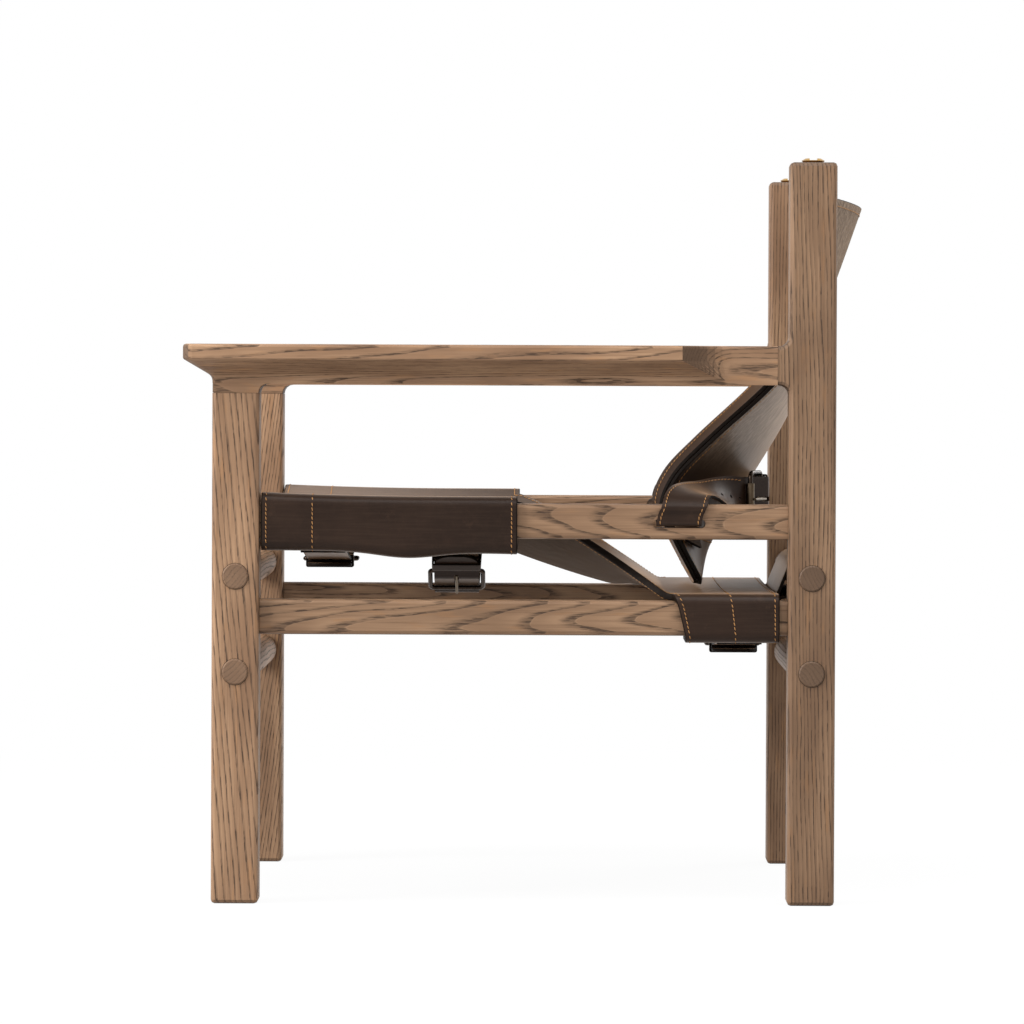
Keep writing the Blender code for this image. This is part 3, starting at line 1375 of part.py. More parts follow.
def cut_strap_slot(shop, rail, sign):
    """The slot in an upper side rail that a back strap goes out through; its ends are round."""
    name = f"{rail.name}_strap_slot"
    reach = RAIL_THICKNESS + 2 * CUT_OVERRUN
    size = (reach, STRAP_SLOT_LENGTH, STRAP_SLOT_HEIGHT)
    centre = (sign * LEG_X, RAIL_END_Y - STRAP_SLOT_TO_POST, UPPER_RAIL_HEIGHT - STRAP_SLOT_DROP)

    def lengthwise(edge):
        return abs((edge.verts[1].co - edge.verts[0].co).x) < reach / 2

    mesh = block_mesh(name, size, centre, STRAP_SLOT_HEIGHT / 2 - SEAT_GAP, 4, square=lengthwise)
    boolean(rail, shop.helper(name, mesh))


def build_leather(shop):
    seat = SeatSling()
    seat.build(shop)
    front_flap = seat.front_profile(1)[-1][1] - SEAT_LEATHER / 2
    rear_flap = seat.rear_profile()[-1][1] - SEAT_LEATHER / 2
    nose = seat.front
    under_straps = (
        UnderStrap("seat_front", nose + FRONT_STRAP_PLACE, HEEL_X, FRONT_STRAP_SAG, 0.0, front_flap),
        UnderStrap(
            "seat_middle",
            nose + MIDDLE_STRAP_PLACE,
            MIDDLE_HEEL_X,
            MIDDLE_STRAP_SAG,
            MIDDLE_STRAP_TILT,
            front_flap,
            tail_end=MIDDLE_TAIL_END,
            fold_end=MIDDLE_FOLD_END,
            keeper_place=MIDDLE_KEEPER_PLACE,
            leaving=MIDDLE_TAIL_LEAVING,
            sewn_from=MIDDLE_SEWN_FROM,
        ),
        UnderStrap("seat_rear", seat.rear - REAR_STRAP_PLACE, HEEL_X, REAR_STRAP_SAG, 0.0, rear_flap),
    )
    for strap in under_straps:
        strap.build(shop)
    back = BackSling()
    back.build(shop)
    BackBelt(back).build(shop)


def centre_on_origin(shop):
    """Moves the whole chair so that the middle of its bounding box stands over the origin."""
    bpy.context.view_layer.update()
    graph = bpy.context.evaluated_depsgraph_get()
    low = Vector((math.inf,) * 3)
    high = -low
    for piece in shop.parts.objects:
        if piece.type == "EMPTY":
            continue
        evaluated = piece.evaluated_get(graph)
        for vertex in evaluated.to_mesh().vertices:
            place = evaluated.matrix_world @ vertex.co
            low = Vector(map(min, low, place))
            high = Vector(map(max, high, place))
        evaluated.to_mesh_clear()
    middle = (low + high) / 2
    shop.root.location = (-middle.x, -middle.y, -low.z)


def main():
    shop = Workshop()
    build_frame(shop)
    build_leather(shop)
    centre_on_origin(shop)


main()
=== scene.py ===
"""Dressed scene of the easy chair: stained ash, leather slings, stitching, straps and buckles.

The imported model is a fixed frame. The wood, the brass rods, the prongs and the rollers keep their
meshes and get their finishes here. Each leather piece and buckle frame is built where its solid
stands. All sizes are metres, +Z is up and the sitter faces -Y.
"""

import logging
import math
from collections.abc import Callable, Iterable, Mapping, Sequence
from dataclasses import dataclass, field, replace
from enum import Enum

import bmesh
import bpy
from mathutils import Matrix, Vector


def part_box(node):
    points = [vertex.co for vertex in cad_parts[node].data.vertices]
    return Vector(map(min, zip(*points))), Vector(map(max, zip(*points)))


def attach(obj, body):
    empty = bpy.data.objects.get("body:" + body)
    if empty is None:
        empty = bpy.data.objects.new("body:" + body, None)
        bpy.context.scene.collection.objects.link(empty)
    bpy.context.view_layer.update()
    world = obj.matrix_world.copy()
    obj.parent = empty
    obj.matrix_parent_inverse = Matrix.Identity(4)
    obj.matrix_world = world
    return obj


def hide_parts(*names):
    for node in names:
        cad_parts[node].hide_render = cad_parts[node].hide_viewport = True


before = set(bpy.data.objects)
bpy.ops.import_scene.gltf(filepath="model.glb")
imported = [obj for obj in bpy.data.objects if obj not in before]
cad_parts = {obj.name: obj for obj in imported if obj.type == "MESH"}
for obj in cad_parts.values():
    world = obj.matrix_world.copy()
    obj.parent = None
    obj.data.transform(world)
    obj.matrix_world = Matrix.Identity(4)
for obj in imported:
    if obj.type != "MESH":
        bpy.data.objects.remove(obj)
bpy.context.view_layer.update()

LOG = logging.getLogger("easy_chair")

Colour = tuple[float, float, float]
FlatPoint = tuple[float, float]
Row = list[Vector]
Station = tuple[Vector, Vector]

SIDES = {"left": 1, "right": -1}
SMOOTH_ANGLE = math.radians(42)
ARRIS_ANGLE = math.radians(62)
PUNCH_SIDES = 20
LEAD_STEPS = 4
TOUCHING = 0.00001


def linear(red: int, green: int, blue: int) -> Colour:
    """Turns a colour as a screen shows it, 0 to 255, into the linear colour that a shader takes.

    Args:
        red: Red as shown.
        green: Green as shown.
        blue: Blue as shown.

    Returns:
        The three linear values.
    """

    def one(value: int) -> float:
        """One channel by the sRGB curve."""
        share = value / 255
        return share / 12.92 if share <= 0.04045 else ((share + 0.055) / 1.055) ** 2.4

    return one(red), one(green), one(blue)


def math_method(operation: str, swapped: bool = False) -> Callable[["Wire", "Wire | float"], "Wire"]:
    """Makes a method of Wire.

    Args:
        operation: The Math node's operation.
        swapped: Whether the wire is the second operand.

    Returns:
        The method, which takes the other operand.
    """

    def method(wire: "Wire", other: "Wire | float") -> "Wire":
        """The wire and the other operand, joined by the operation."""
        return wire.maths(operation, *((other, wire) if swapped else (wire, other)))

    return method


@dataclass(frozen=True)
class Wire:
    """An output socket that plain arithmetic works on; each operation adds a Math node."""

    tree: bpy.types.NodeTree
    socket: bpy.types.NodeSocket

    __add__, __radd__ = math_method("ADD"), math_method("ADD", swapped=True)
    __sub__, __rsub__ = math_method("SUBTRACT"), math_method("SUBTRACT", swapped=True)
    __mul__, __rmul__ = math_method("MULTIPLY"), math_method("MULTIPLY", swapped=True)
    __truediv__, __pow__ = math_method("DIVIDE"), math_method("POWER")
    at_least, at_most = math_method("MAXIMUM"), math_method("MINIMUM")

    def maths(self, operation: str, *operands: "Wire | float") -> "Wire":
        """Adds one Math node.

        Args:
            operation: The Math node's operation.
            operands: Up to three numbers or wires.

        Returns:
            The node's result.
        """
        node = self.tree.nodes.new("ShaderNodeMath")
        node.operation = operation
        for socket, operand in zip(node.inputs, operands):
            if isinstance(operand, Wire):
                self.tree.links.new(operand.socket, socket)
            else:
                socket.default_value = operand
        return Wire(self.tree, node.outputs[0])

    def __abs__(self) -> "Wire":
        """Size without its sign."""
        return self.maths("ABSOLUTE", self)

    def fraction(self) -> "Wire":
        """The part after the point."""
        return self.maths("FRACT", self)

    def step(self, start: float, end: float) -> "Wire":
        """A smooth rise from 0 at start to 1 at end; it falls where start is the larger.

        Args:
            start: The value that gives 0.
            end: The value that gives 1.

        Returns:
            The rise.
        """
        low, high = min(start, end), max(start, end)
        node = self.tree.nodes.new("ShaderNodeMapRange")
        node.interpolation_type = "SMOOTHSTEP"
        self.tree.links.new(self.socket, node.inputs["Value"])
        node.inputs["From Min"].default_value = low
        node.inputs["From Max"].default_value = high
        rise = Wire(self.tree, node.outputs["Result"])
        return rise if start < end else 1 - rise


@dataclass(frozen=True)
class Layer:
    """A layer of noise in a finish, and how much of it counts.

    scale is its clouds to a metre, detail and roughness are how many finer layers it has and how
    strong they are, and stretch is how many times as long as wide its clouds are. It counts from 0
    at start to share at end.
    """

    scale: float
    detail: float = 2.0
    roughness: float = 0.5
    stretch: float = 1.0
    start: float = 0.0
    end: float = 1.0
    share: float = 1.0


class FinishSheet:
    """The nodes of one material, round its Principled BSDF."""

    def __init__(self, name: str) -> None:
        """Makes an empty material.

        Args:
            name: The material's name.
        """
        self.material = bpy.data.materials.new(name)
        self.material.use_nodes = True
        self.tree = self.material.node_tree
        self.shader = self.tree.nodes["Principled BSDF"]

    def put(self, socket: bpy.types.NodeSocket, value: object) -> None:
        """Gives an input a wire, a number or a colour.

        Args:
            socket: The input.
            value: What it gets; a colour may leave out its opacity.
        """
        if isinstance(value, Wire):
            self.tree.links.new(value.socket, socket)
        elif socket.type == "RGBA" and len(value) == 3:
            socket.default_value = (*value, 1)
        else:
            socket.default_value = value

    def node(
        self,
        kind: str,
        settings: Mapping[str, object] | None = None,
        values: Mapping[str | int, object] | None = None,
    ) -> bpy.types.Node:
        """Adds a node.

        Args:
            kind: The node's type.
            settings: The node's own settings, which are set first.
            values: A number, colour or wire for each named or numbered input.

        Returns:
            The node.
        """
        made = self.tree.nodes.new(kind)
        for key, setting in (settings or {}).items():
            setattr(made, key, setting)
        for key, value in (values or {}).items():
            self.put(made.inputs[key], value)
        return made

    def wire(self, node: bpy.types.Node, output: str | int = 0) -> Wire:
        """An output of a node as a wire."""
        return Wire(self.tree, node.outputs[output])

    def coordinates(self, kind: str = "Object") -> tuple[Wire, Wire, Wire]:
        """The shaded point's place, or its "Normal", in the object's own x, y and z.

        Args:
            kind: "Object" for the place or "Normal" for the way the surface faces.

        Returns:
            The x, the y and the z.
        """
        whole = self.wire(self.node("ShaderNodeTexCoord"), kind)
        split = self.node("ShaderNodeSeparateXYZ", values={0: whole})
        return self.wire(split, 0), self.wire(split, 1), self.wire(split, 2)

    def vector(self, x: Wire | float, y: Wire | float, z: Wire | float) -> Wire:
        """Three values as one vector."""
        return self.wire(self.node("ShaderNodeCombineXYZ", values={0: x, 1: y, 2: z}))

    def noise(self, where: Wire, layer: Layer) -> Wire:
        """A layer's cloudy noise, from 0 to 1."""
        sizes = {"Scale": layer.scale, "Detail": layer.detail, "Roughness": layer.roughness}
        return self.wire(self.node("ShaderNodeTexNoise", values={"Vector": where, **sizes}))

    def layer(self, where: Wire, layer: Layer) -> Wire:
        """A layer's noise as far as it counts, from 0 to its share."""
        return self.counted(self.noise(where, layer), layer)

    def counted(self, noise: Wire, layer: Layer) -> Wire:
        """The same for a noise that has been read already."""
        return noise.step(layer.start, layer.end) * layer.share

    def cells(self, where: Wire, scale: float, smoothness: float = 0.6) -> Wire:
        """Distance to the middle of the nearest cell, as on grained leather.

        Args:
            where: The place that is shaded.
            scale: How many cells a metre holds.
            smoothness: How softly two cells meet, from 0 to 1.

        Returns:
            The distance, as a share of a cell.
        """
        settings = {"feature": "SMOOTH_F1"}
        values = {"Vector": where, "Scale": scale, "Smoothness": smoothness}
        return self.wire(self.node("ShaderNodeTexVoronoi", settings, values), "Distance")

    def blend(self, share: Wire | float, first: Wire | Colour, second: Wire | Colour) -> Wire:
        """Mixes two colours.

        Args:
            share: 0 for the first colour and 1 for the second.
            first: A colour or a wire.
            second: A colour or a wire.

        Returns:
            The mixed colour.
        """
        mixer = self.node("ShaderNodeMix", {"data_type": "RGBA"})
        sockets = {socket.name: socket for socket in mixer.inputs if socket.enabled}
        for key, value in (("Factor", share), ("A", first), ("B", second)):
            self.put(sockets[key], value)
        return Wire(self.tree, next(socket for socket in mixer.outputs if socket.enabled))

    def bump(self, height: Wire, distance: float, strength: float = 1.0) -> Wire:
        """A surface direction that follows a height, whose 0 to 1 stand for distance in metres."""
        values = {"Height": height, "Distance": distance, "Strength": strength}
        return self.wire(self.node("ShaderNodeBump", values=values), "Normal")

    def finish(self, **sockets: object) -> bpy.types.Material:
        """Sets the shader's sockets.

        Args:
            sockets: A value or wire for each socket, its name in small letters with underscores.

        Returns:
            The finished material.
        """
        named = {socket.name.lower().replace(" ", "_"): socket for socket in self.shader.inputs}
        for key, value in sockets.items():
            self.put(named[key], value)
        return self.material


def seen_by(tree: bpy.types.NodeTree, *kinds: str) -> Wire:
    """1 where the ray that meets the finish is of one of these kinds, and 0 elsewhere.

    Args:
        tree: The finish's nodes.
        *kinds: What the kinds of ray are called.

    Returns:
        The 1 or 0.
    """
    path = tree.nodes.new("ShaderNodeLightPath")
    found, *others = [Wire(tree, path.outputs[f"Is {kind} Ray"]) for kind in kinds]
    for other in others:
        found = found.at_least(other)
    return found


class Grain(Enum):
    """Which way a wooden piece's fibres run."""

    UPRIGHT = "upright"
    LENGTHWISE = "lengthwise"
    ACROSS = "across"


@dataclass(frozen=True)
class Pith:
    """Where a tree's heart lies beside its piece, how the two lean apart, and the rings' width."""

    first: float
    second: float
    lean_first: float = 0.0
    lean_second: float = 0.0
    ring: float = 0.0040


@dataclass(frozen=True)
class AshFinish:
    """Stained and oiled ash: rings with open dark pores, fine fibres and soft orange patches."""

    pale: Colour = linear(199, 159, 124)
    deep: Colour = linear(150, 115, 87)
    warm: Colour = linear(190, 141, 98)
    pore: Colour = linear(56, 40, 29)
    end_shade: Colour = linear(98, 76, 59)
    squeeze: float = 6.0
    bend: Layer = Layer(2.6, share=0.018)
    twist: Layer = Layer(9.0, share=0.0045)
    uneven: Layer = Layer(60.0, 1.0, share=1.4)
    early_wood: tuple[float, float] = (0.44, 0.04)
    ring_edge: tuple[float, float] = (0.0, 0.05)
    late_wood: tuple[float, float] = (0.35, 0.95)
    late_share: float = 0.4
    pores: Layer = Layer(900.0, 1.0, stretch=12.0, start=0.48, end=0.58)
    breaks: Layer = Layer(190.0, 1.0, stretch=11.0, start=0.34, end=0.52)
    fibres: Layer = Layer(540.0, 3.0, 0.65, stretch=60.0, start=0.40, end=0.68, share=0.55)
    stray_fibres: tuple[float, float] = (0.52, 0.75)
    stray_share: float = 0.22
    clouds: Layer = Layer(26.0, 3.0, stretch=4.0, start=0.3, end=0.72)
    fibre_gloss: float = 0.10
    pore_rough: float = 0.16
    bump: float = 0.6
    patches: Layer = Layer(24.0, start=0.56, end=0.74, share=0.55)
    solid_ring: float = 0.62
    pored_ring: float = 0.80
    broken_ring: float = 0.56
    pore_share: float = 0.85
    # End grain takes more stain. The ramp starts at faces only slightly turned to the grain, so it
    # also paints shade on slanted faces such as the arms' rear scoops.
    end_grain: tuple[float, float] = (0.12, 0.62)
    end_share: float = 0.85
    pore_depth: float = 0.75
    relief: float = 0.00035
    rough: float = 0.56
    shine: float = 0.30

    def dress(
        self, name: str, grain: Grain, middle: Vector, pith: Pith, shift: float, depth: float
    ) -> bpy.types.Material:
        """Makes the finish for one piece.

        Args:
            name: The material's name.
            grain: Which way the piece's fibres run.
            middle: The middle of the piece.
            pith: The tree's heart, seen from that middle.
            shift: How far along the tree it was sawn, so that no two pieces share a figure.
            depth: A factor on all its colours: the stain's tone, with painted light on some pieces.

        Returns:
            The material.
        """
        sheet = FinishSheet(name)
        x, y, z = (axis - level for axis, level in zip(sheet.coordinates(), middle))
        facing_x, facing_y, facing_z = sheet.coordinates("Normal")
        along, first, second, end_on = {
            Grain.UPRIGHT: (z, x, y, facing_z),
            Grain.LENGTHWISE: (y, x, z, facing_y),
            Grain.ACROSS: (x, y, z, facing_x),
        }[grain]

        drift = along + shift
        slow = sheet.vector(first * self.squeeze, second * self.squeeze, drift)
        bend = (sheet.noise(slow, self.bend) - 0.5) * self.bend.share
        twist = (sheet.noise(slow, self.twist) - 0.5) * self.twist.share
        off_first = first - along * pith.lean_first - pith.first + bend
        off_second = second - along * pith.lean_second - pith.second + twist
        reach = (off_first * off_first + off_second * off_second) ** 0.5
        uneven = sheet.noise(sheet.vector(reach, 0.0, 0.0), self.uneven) * self.uneven.share
        growth = (reach / pith.ring + uneven).fraction()

        def fibrous(layer: Layer) -> Wire:
            """Where a layer is read that is drawn out along the fibres."""
            return sheet.vector(first, second, drift / layer.stretch)

        early = growth.step(*self.early_wood) * growth.step(*self.ring_edge)
        pores = sheet.layer(fibrous(self.pores), self.pores)
        breaks = sheet.layer(fibrous(self.breaks), self.breaks)
        fibres = sheet.noise(fibrous(self.fibres), self.fibres)
        ring = early * (self.solid_ring + self.pored_ring * pores)
        dark = (ring * (self.broken_ring + (1 - self.broken_ring) * breaks)).at_most(1.0)
        stray = pores * fibres.step(*self.stray_fibres) * self.stray_share

        stained = [self.pale, self.deep, self.warm, self.end_shade]
        pale, deep, warm, end_shade = [tuple(depth * part for part in colour) for colour in stained]
        tone = sheet.blend(sheet.layer(fibrous(self.clouds), self.clouds), pale, deep)
        tone = sheet.blend(growth.step(*self.late_wood) * self.late_share, tone, deep)
        tone = sheet.blend(sheet.layer(slow, self.patches), tone, warm)
        tone = sheet.blend(sheet.counted(fibres, self.fibres), tone, deep)
        tone = sheet.blend((dark * self.pore_share + stray).at_most(1.0), tone, self.pore)
        # Darker end grain: stain, and painted shade on slanted faces such as the arms' rear scoops.
        tone = sheet.blend(abs(end_on).step(*self.end_grain) * self.end_share, tone, end_shade)

        height = 1 - (dark * pores + stray) * self.pore_depth - fibres * (1 - self.pore_depth)
        return sheet.finish(
            base_color=tone,
            roughness=self.rough - self.fibre_gloss * fibres + self.pore_rough * dark,
            specular_ior_level=self.shine,
            normal=sheet.bump(height, self.relief, self.bump),
        )


@dataclass(frozen=True)
class LeatherFinish:
    """Thick vegetable-tanned leather, waxed: a fine grain, soft clouds and faint rubbed marks.

    Pale streaks, a painted reflection of the white surround at grazing angles, run along a direction
    in the object's y and z, and rise from nothing at one given height to full at a higher one.
    """

    name: str
    colour: Colour
    cloud: Colour
    rub: Colour
    rough: float
    shine: float
    grain_depth: float
    cloud_share: float = 0.5
    rub_share: float = 0.22
    wax: float = 0.0
    sheen: float = 0.40
    sheen_colour: Colour = linear(255, 208, 166)
    # Painted reflection: the pale streak colour and its layer stand for the white surround reflected
    # at grazing angles; faint by default on every grain side, strong on the back's lining and flesh
    # side.
    painted_reflection: Colour = linear(126, 104, 86)
    reflection_share: float = 0.05
    reflection_turn: float = 0.0
    reflection_from: float = -1.0
    reflection_to: float = 0.0
    pebbles_per_metre: float = 780.0
    pebble_share: float = 0.6
    fine: Layer = Layer(2300.0, share=0.18)
    wide: Layer = Layer(11.0, 3.0, 0.6, start=0.34, end=0.66)
    mottle: Layer = Layer(95.0, 4.0, 0.65, start=0.42, end=0.74, share=0.6)
    swell: Layer = Layer(60.0, share=3.0)
    rubs: Layer = Layer(38.0, 5.0, 0.72, start=0.57, end=0.72)
    reflection_streaks: Layer = Layer(420.0, 3.0, 0.7, stretch=26.0, start=0.38, end=0.72)
    reflection_floor: float = 0.3
    mottle_height: float = 0.22
    uneven_rough: float = 0.10
    rub_gloss: float = 0.06
    sheen_rough: float = 0.35
    wax_rough: float = 0.38
    wax_ior: float = 1.35
    bump: float = 0.55

    def make(self) -> bpy.types.Material:
        """Makes the material.

        Returns:
            The material.
        """
        sheet = FinishSheet(self.name)
        x, y, z = sheet.coordinates()
        where = sheet.vector(x, y, z)
        pebbles = sheet.cells(where, self.pebbles_per_metre)
        fine, swell = sheet.noise(where, self.fine), sheet.noise(where, self.swell)
        wide, mottle = sheet.noise(where, self.wide), sheet.noise(where, self.mottle)
        rubbed = sheet.layer(where, self.rubs)
        tone = sheet.blend(sheet.counted(wide, self.wide) * self.cloud_share, self.colour, self.cloud)
        tone = sheet.blend(sheet.counted(mottle, self.mottle) * self.cloud_share, tone, self.cloud)
        tone = sheet.blend(rubbed * self.rub_share, tone, self.rub)
        # Painted reflection: pale streaks are blended into the colour above a given height, standing
        # for the white surround reflected at grazing angles.
        cosine, sine = math.cos(self.reflection_turn), math.sin(self.reflection_turn)
        along, off = y * cosine + z * sine, z * cosine - y * sine
        reflection_streaks = sheet.layer(sheet.vector(x, along / self.reflection_streaks.stretch, off), self.reflection_streaks)
        reflection_fade = z.step(self.reflection_from, self.reflection_to)
        seen = self.reflection_floor + (1 - self.reflection_floor) * reflection_streaks
        tone = sheet.blend(reflection_fade * seen * self.reflection_share, tone, self.painted_reflection)
        height = (1 - pebbles) * self.pebble_share + fine * self.fine.share
        height = height + mottle * self.mottle_height + swell * self.swell.share
        uneven = self.uneven_rough * (mottle - 0.5)
        return sheet.finish(
            base_color=tone,
            roughness=self.rough + uneven - self.rub_gloss * rubbed + self.uneven_rough * (wide - 0.5),
            specular_ior_level=self.shine,
            sheen_weight=self.sheen,
            sheen_roughness=self.sheen_rough,
            sheen_tint=self.sheen_colour,
            coat_weight=self.wax,
            coat_roughness=self.wax_rough,
            coat_ior=self.wax_ior,
            normal=sheet.bump(height, self.grain_depth, self.bump),
        )


@dataclass(frozen=True)
class MetalFinish:
    """A polished metal with the faint unevenness of a cast or drawn piece."""

    name: str
    colour: Colour
    worn: Colour
    rough: float
    haze: Layer = Layer(160.0, 3.0, 0.6, start=0.45, end=0.72, share=0.5)
    scuffs: Layer = Layer(1400.0, 3.0, 0.7)
    haze_rough: float = 0.12
    scuff_rough: float = 0.10
    relief: float = 0.00006
    bump: float = 0.4

    def make(self) -> bpy.types.Material:
        """Makes the material.

        Returns:
            The material.
        """
        sheet = FinishSheet(self.name)
        where = sheet.vector(*sheet.coordinates())
        haze, scuffs = sheet.noise(where, self.haze), sheet.noise(where, self.scuffs)
        tone = sheet.blend(sheet.counted(haze, self.haze), self.colour, self.worn)
        return sheet.finish(
            base_color=tone,
            metallic=1.0,
            roughness=self.rough + self.haze_rough * (haze - 0.5) + self.scuff_rough * (scuffs - 0.5),
            normal=sheet.bump(scuffs * 0.5 + haze * 0.5, self.relief, self.bump),
        )


@dataclass(frozen=True)
class ThreadFinish:
    """Waxed golden-tan thread."""

    name: str = "waxed_thread"
    colour: Colour = linear(184, 134, 80)
    shade: Colour = linear(126, 84, 46)
    strands: Layer = Layer(1900.0, 1.0, start=0.38, end=0.66, share=0.55)
    dirt: Layer = Layer(45.0, start=0.5, end=0.7, share=0.3)
    rough: float = 0.62
    shine: float = 0.35
    relief: float = 0.00015
    bump: float = 0.6

    def make(self) -> bpy.types.Material:
        """Makes the material.

        Returns:
            The material.
        """
        sheet = FinishSheet(self.name)
        where = sheet.vector(*sheet.coordinates())
        strands = sheet.noise(where, self.strands)
        tone = sheet.blend(sheet.counted(strands, self.strands), self.colour, self.shade)
        tone = sheet.blend(sheet.layer(where, self.dirt), tone, self.shade)
        return sheet.finish(
            base_color=tone,
            roughness=self.rough,
            specular_ior_level=self.shine,
            normal=sheet.bump(strands, self.relief, self.bump),
        )


GRAIN_SIDE = LeatherFinish(
    "leather_grain_side",
    colour=linear(33, 21, 15),
    cloud=linear(49, 34, 26),
    rub=linear(78, 57, 44),
    rough=0.42,
    shine=0.05,
    wax=0.30,
    grain_depth=0.00016,
)
# Painted reflection: the lining's strong pale streaks above z 0.452 to 0.515 stand for the white
# surround reflected at grazing angles.
LINING_SIDE = replace(
    GRAIN_SIDE,
    name="leather_lining_side",
    rough=0.46,
    shine=0.10,
    painted_reflection=linear(176, 157, 138),
    reflection_share=0.92,
    reflection_turn=math.radians(60),
    reflection_from=0.452,
    reflection_to=0.515,
)
# Painted reflection: the pale streaks above z 0.60 to 0.68, on the back's rear face, stand for
# reflected light.
FLESH_SIDE = LeatherFinish(
    "leather_flesh_side",
    colour=linear(52, 40, 31),
    cloud=linear(62, 48, 38),
    rub=linear(82, 66, 52),
    rough=0.70,
    shine=0.05,
    sheen=0.20,
    painted_reflection=linear(170, 152, 134),
    reflection_share=0.85,
    reflection_turn=math.radians(60),
    reflection_from=0.60,
    reflection_to=0.68,
    grain_depth=0.00045,
    cloud_share=0.7,
)
CUT_EDGE = LeatherFinish(
    "leather_cut_edge",
    colour=linear(10, 6, 4),
    cloud=linear(18, 11, 8),
    rub=linear(40, 28, 21),
    rough=0.55,
    shine=0.06,
    sheen=0.0,
    grain_depth=0.0001,
    rub_share=0.3,
)
BRASS = MetalFinish("polished_brass", linear(206, 164, 92), linear(160, 118, 60), rough=0.22)
GUNMETAL = MetalFinish("dark_gunmetal", linear(58, 48, 41), linear(40, 33, 29), rough=0.26)
NICKEL = MetalFinish("aged_nickel", linear(100, 87, 71), linear(70, 58, 46), rough=0.30)


@dataclass
class Dressing:
    """The finishes that several pieces share, made once."""

    grain_side: bpy.types.Material = field(default_factory=GRAIN_SIDE.make)
    flesh_side: bpy.types.Material = field(default_factory=FLESH_SIDE.make)
    lining_side: bpy.types.Material = field(default_factory=LINING_SIDE.make)
    cut_edge: bpy.types.Material = field(default_factory=CUT_EDGE.make)
    brass: bpy.types.Material = field(default_factory=BRASS.make)
    gunmetal: bpy.types.Material = field(default_factory=GUNMETAL.make)
    nickel: bpy.types.Material = field(default_factory=NICKEL.make)
    thread: bpy.types.Material = field(default_factory=ThreadFinish().make)

    @property
    def leather(self) -> list[bpy.types.Material]:
        """A leather piece's three finishes: the side that shows, the cut edge and the flesh side."""
        return [self.grain_side, self.cut_edge, self.flesh_side]

    @property
    def lining(self) -> list[bpy.types.Material]:
        """The same three for the back's lining, whose colour is painted paler towards its top with
        streaks that stand for a reflection.
        """
        return [self.lining_side, self.cut_edge, self.flesh_side]


@dataclass(frozen=True)
class ChairSizes:
    """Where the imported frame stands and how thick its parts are, for the leather to fit to."""

    leg_x: float
    front_y: float
    post_y: float
    half_leg: float
    post_top: float
    rail_half: float
    rail_height: float
    upper_rail: float
    lower_rail: float
    cross_radius: float
    upper_cross: float
    rail_edge: float = 0.004
    rod_radius: float = 0.0045

    @classmethod
    def measured(cls) -> "ChairSizes":
        """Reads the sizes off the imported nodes.

        Returns:
            The sizes, in metres.
        """
        rod_low, rod_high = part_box("brass_rod_left")
        leg_low, leg_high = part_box("front_leg_left")
        upper_low, upper_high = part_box("upper_side_rail_left")
        lower_low, lower_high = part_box("lower_side_rail_left")
        bar_low, bar_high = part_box("rear_upper_cross_bar")
        return cls(
            leg_x=(rod_low.x + rod_high.x) / 2,
            front_y=(leg_low.y + leg_high.y) / 2,
            post_y=(rod_low.y + rod_high.y) / 2,
            half_leg=(leg_high.y - leg_low.y) / 2,
            post_top=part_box("back_post_left")[1].z,
            rail_half=(upper_high.x - upper_low.x) / 2,
            rail_height=upper_high.z - upper_low.z,
            upper_rail=(upper_low.z + upper_high.z) / 2,
            lower_rail=(lower_low.z + lower_high.z) / 2,
            cross_radius=(bar_high.z - bar_low.z) / 2,
            upper_cross=(bar_low.z + bar_high.z) / 2,
        )


def mix(low: float, high: float, share: float) -> float:
    """The value at a share of the way from low to high."""
    return low + (high - low) * share


def spread(low: float, high: float, runs: int) -> list[float]:
    """Evenly spaced values from low to high, with so many runs between them."""
    return [mix(low, high, step / runs) for step in range(runs + 1)]


def length_of(points: Sequence[Vector]) -> float:
    """The length of a line of points."""
    return sum((there - here).length for here, there in zip(points, points[1:]))


def arc(centre: FlatPoint, radius: float, start: float, end: float, steps: int) -> list[FlatPoint]:
    """Points of an arc in a plane.

    Args:
        centre: The arc's centre.
        radius: Its radius.
        start: The angle of its first point, in radians.
        end: The angle of its last point.
        steps: How many runs it has.

    Returns:
        The points, both ends among them.
    """
    turn = (end - start) / steps
    across, up = centre
    angles = [start + turn * step for step in range(steps + 1)]
    return [(across + radius * math.cos(angle), up + radius * math.sin(angle)) for angle in angles]


def corner(centre: FlatPoint, radius: float, start: float, end: float, steps: int) -> list[FlatPoint]:
    """Points round a corner, whose straight runs touch the circle and never cut into it.

    Args:
        centre: The circle's centre.
        radius: Its radius.
        start: Where the path first touches the circle, as an angle in radians.
        end: Where it leaves the circle.
        steps: How many bends the path has between them.

    Returns:
        The points, both touching points among them.
    """
    turn = (end - start) / steps
    reach = radius / math.cos(turn / 2)
    bends = [arc(centre, reach, start + turn * (step + 0.5), end, 1)[0] for step in range(steps)]
    first, last = arc(centre, radius, start, end, 1)
    return [first, *bends, last]


def eased(
    low: Vector | float,
    slope_in: Vector | float,
    high: Vector | float,
    slope_out: Vector | float,
    run: float,
    share: float,
) -> Vector | float:
    """A smooth cubic between two values.

    Args:
        low: The value at share 0.
        slope_in: Its slope there.
        high: The value at share 1.
        slope_out: Its slope there.
        run: How far apart the two lie.
        share: Where the cubic is read.

    Returns:
        The value at share.
    """
    square, cube = share**2, share**3
    return (
        (2 * cube - 3 * square + 1) * low
        + (cube - 2 * square + share) * run * slope_in
        + (3 * square - 2 * cube) * high
        + (cube - square) * run * slope_out
    )


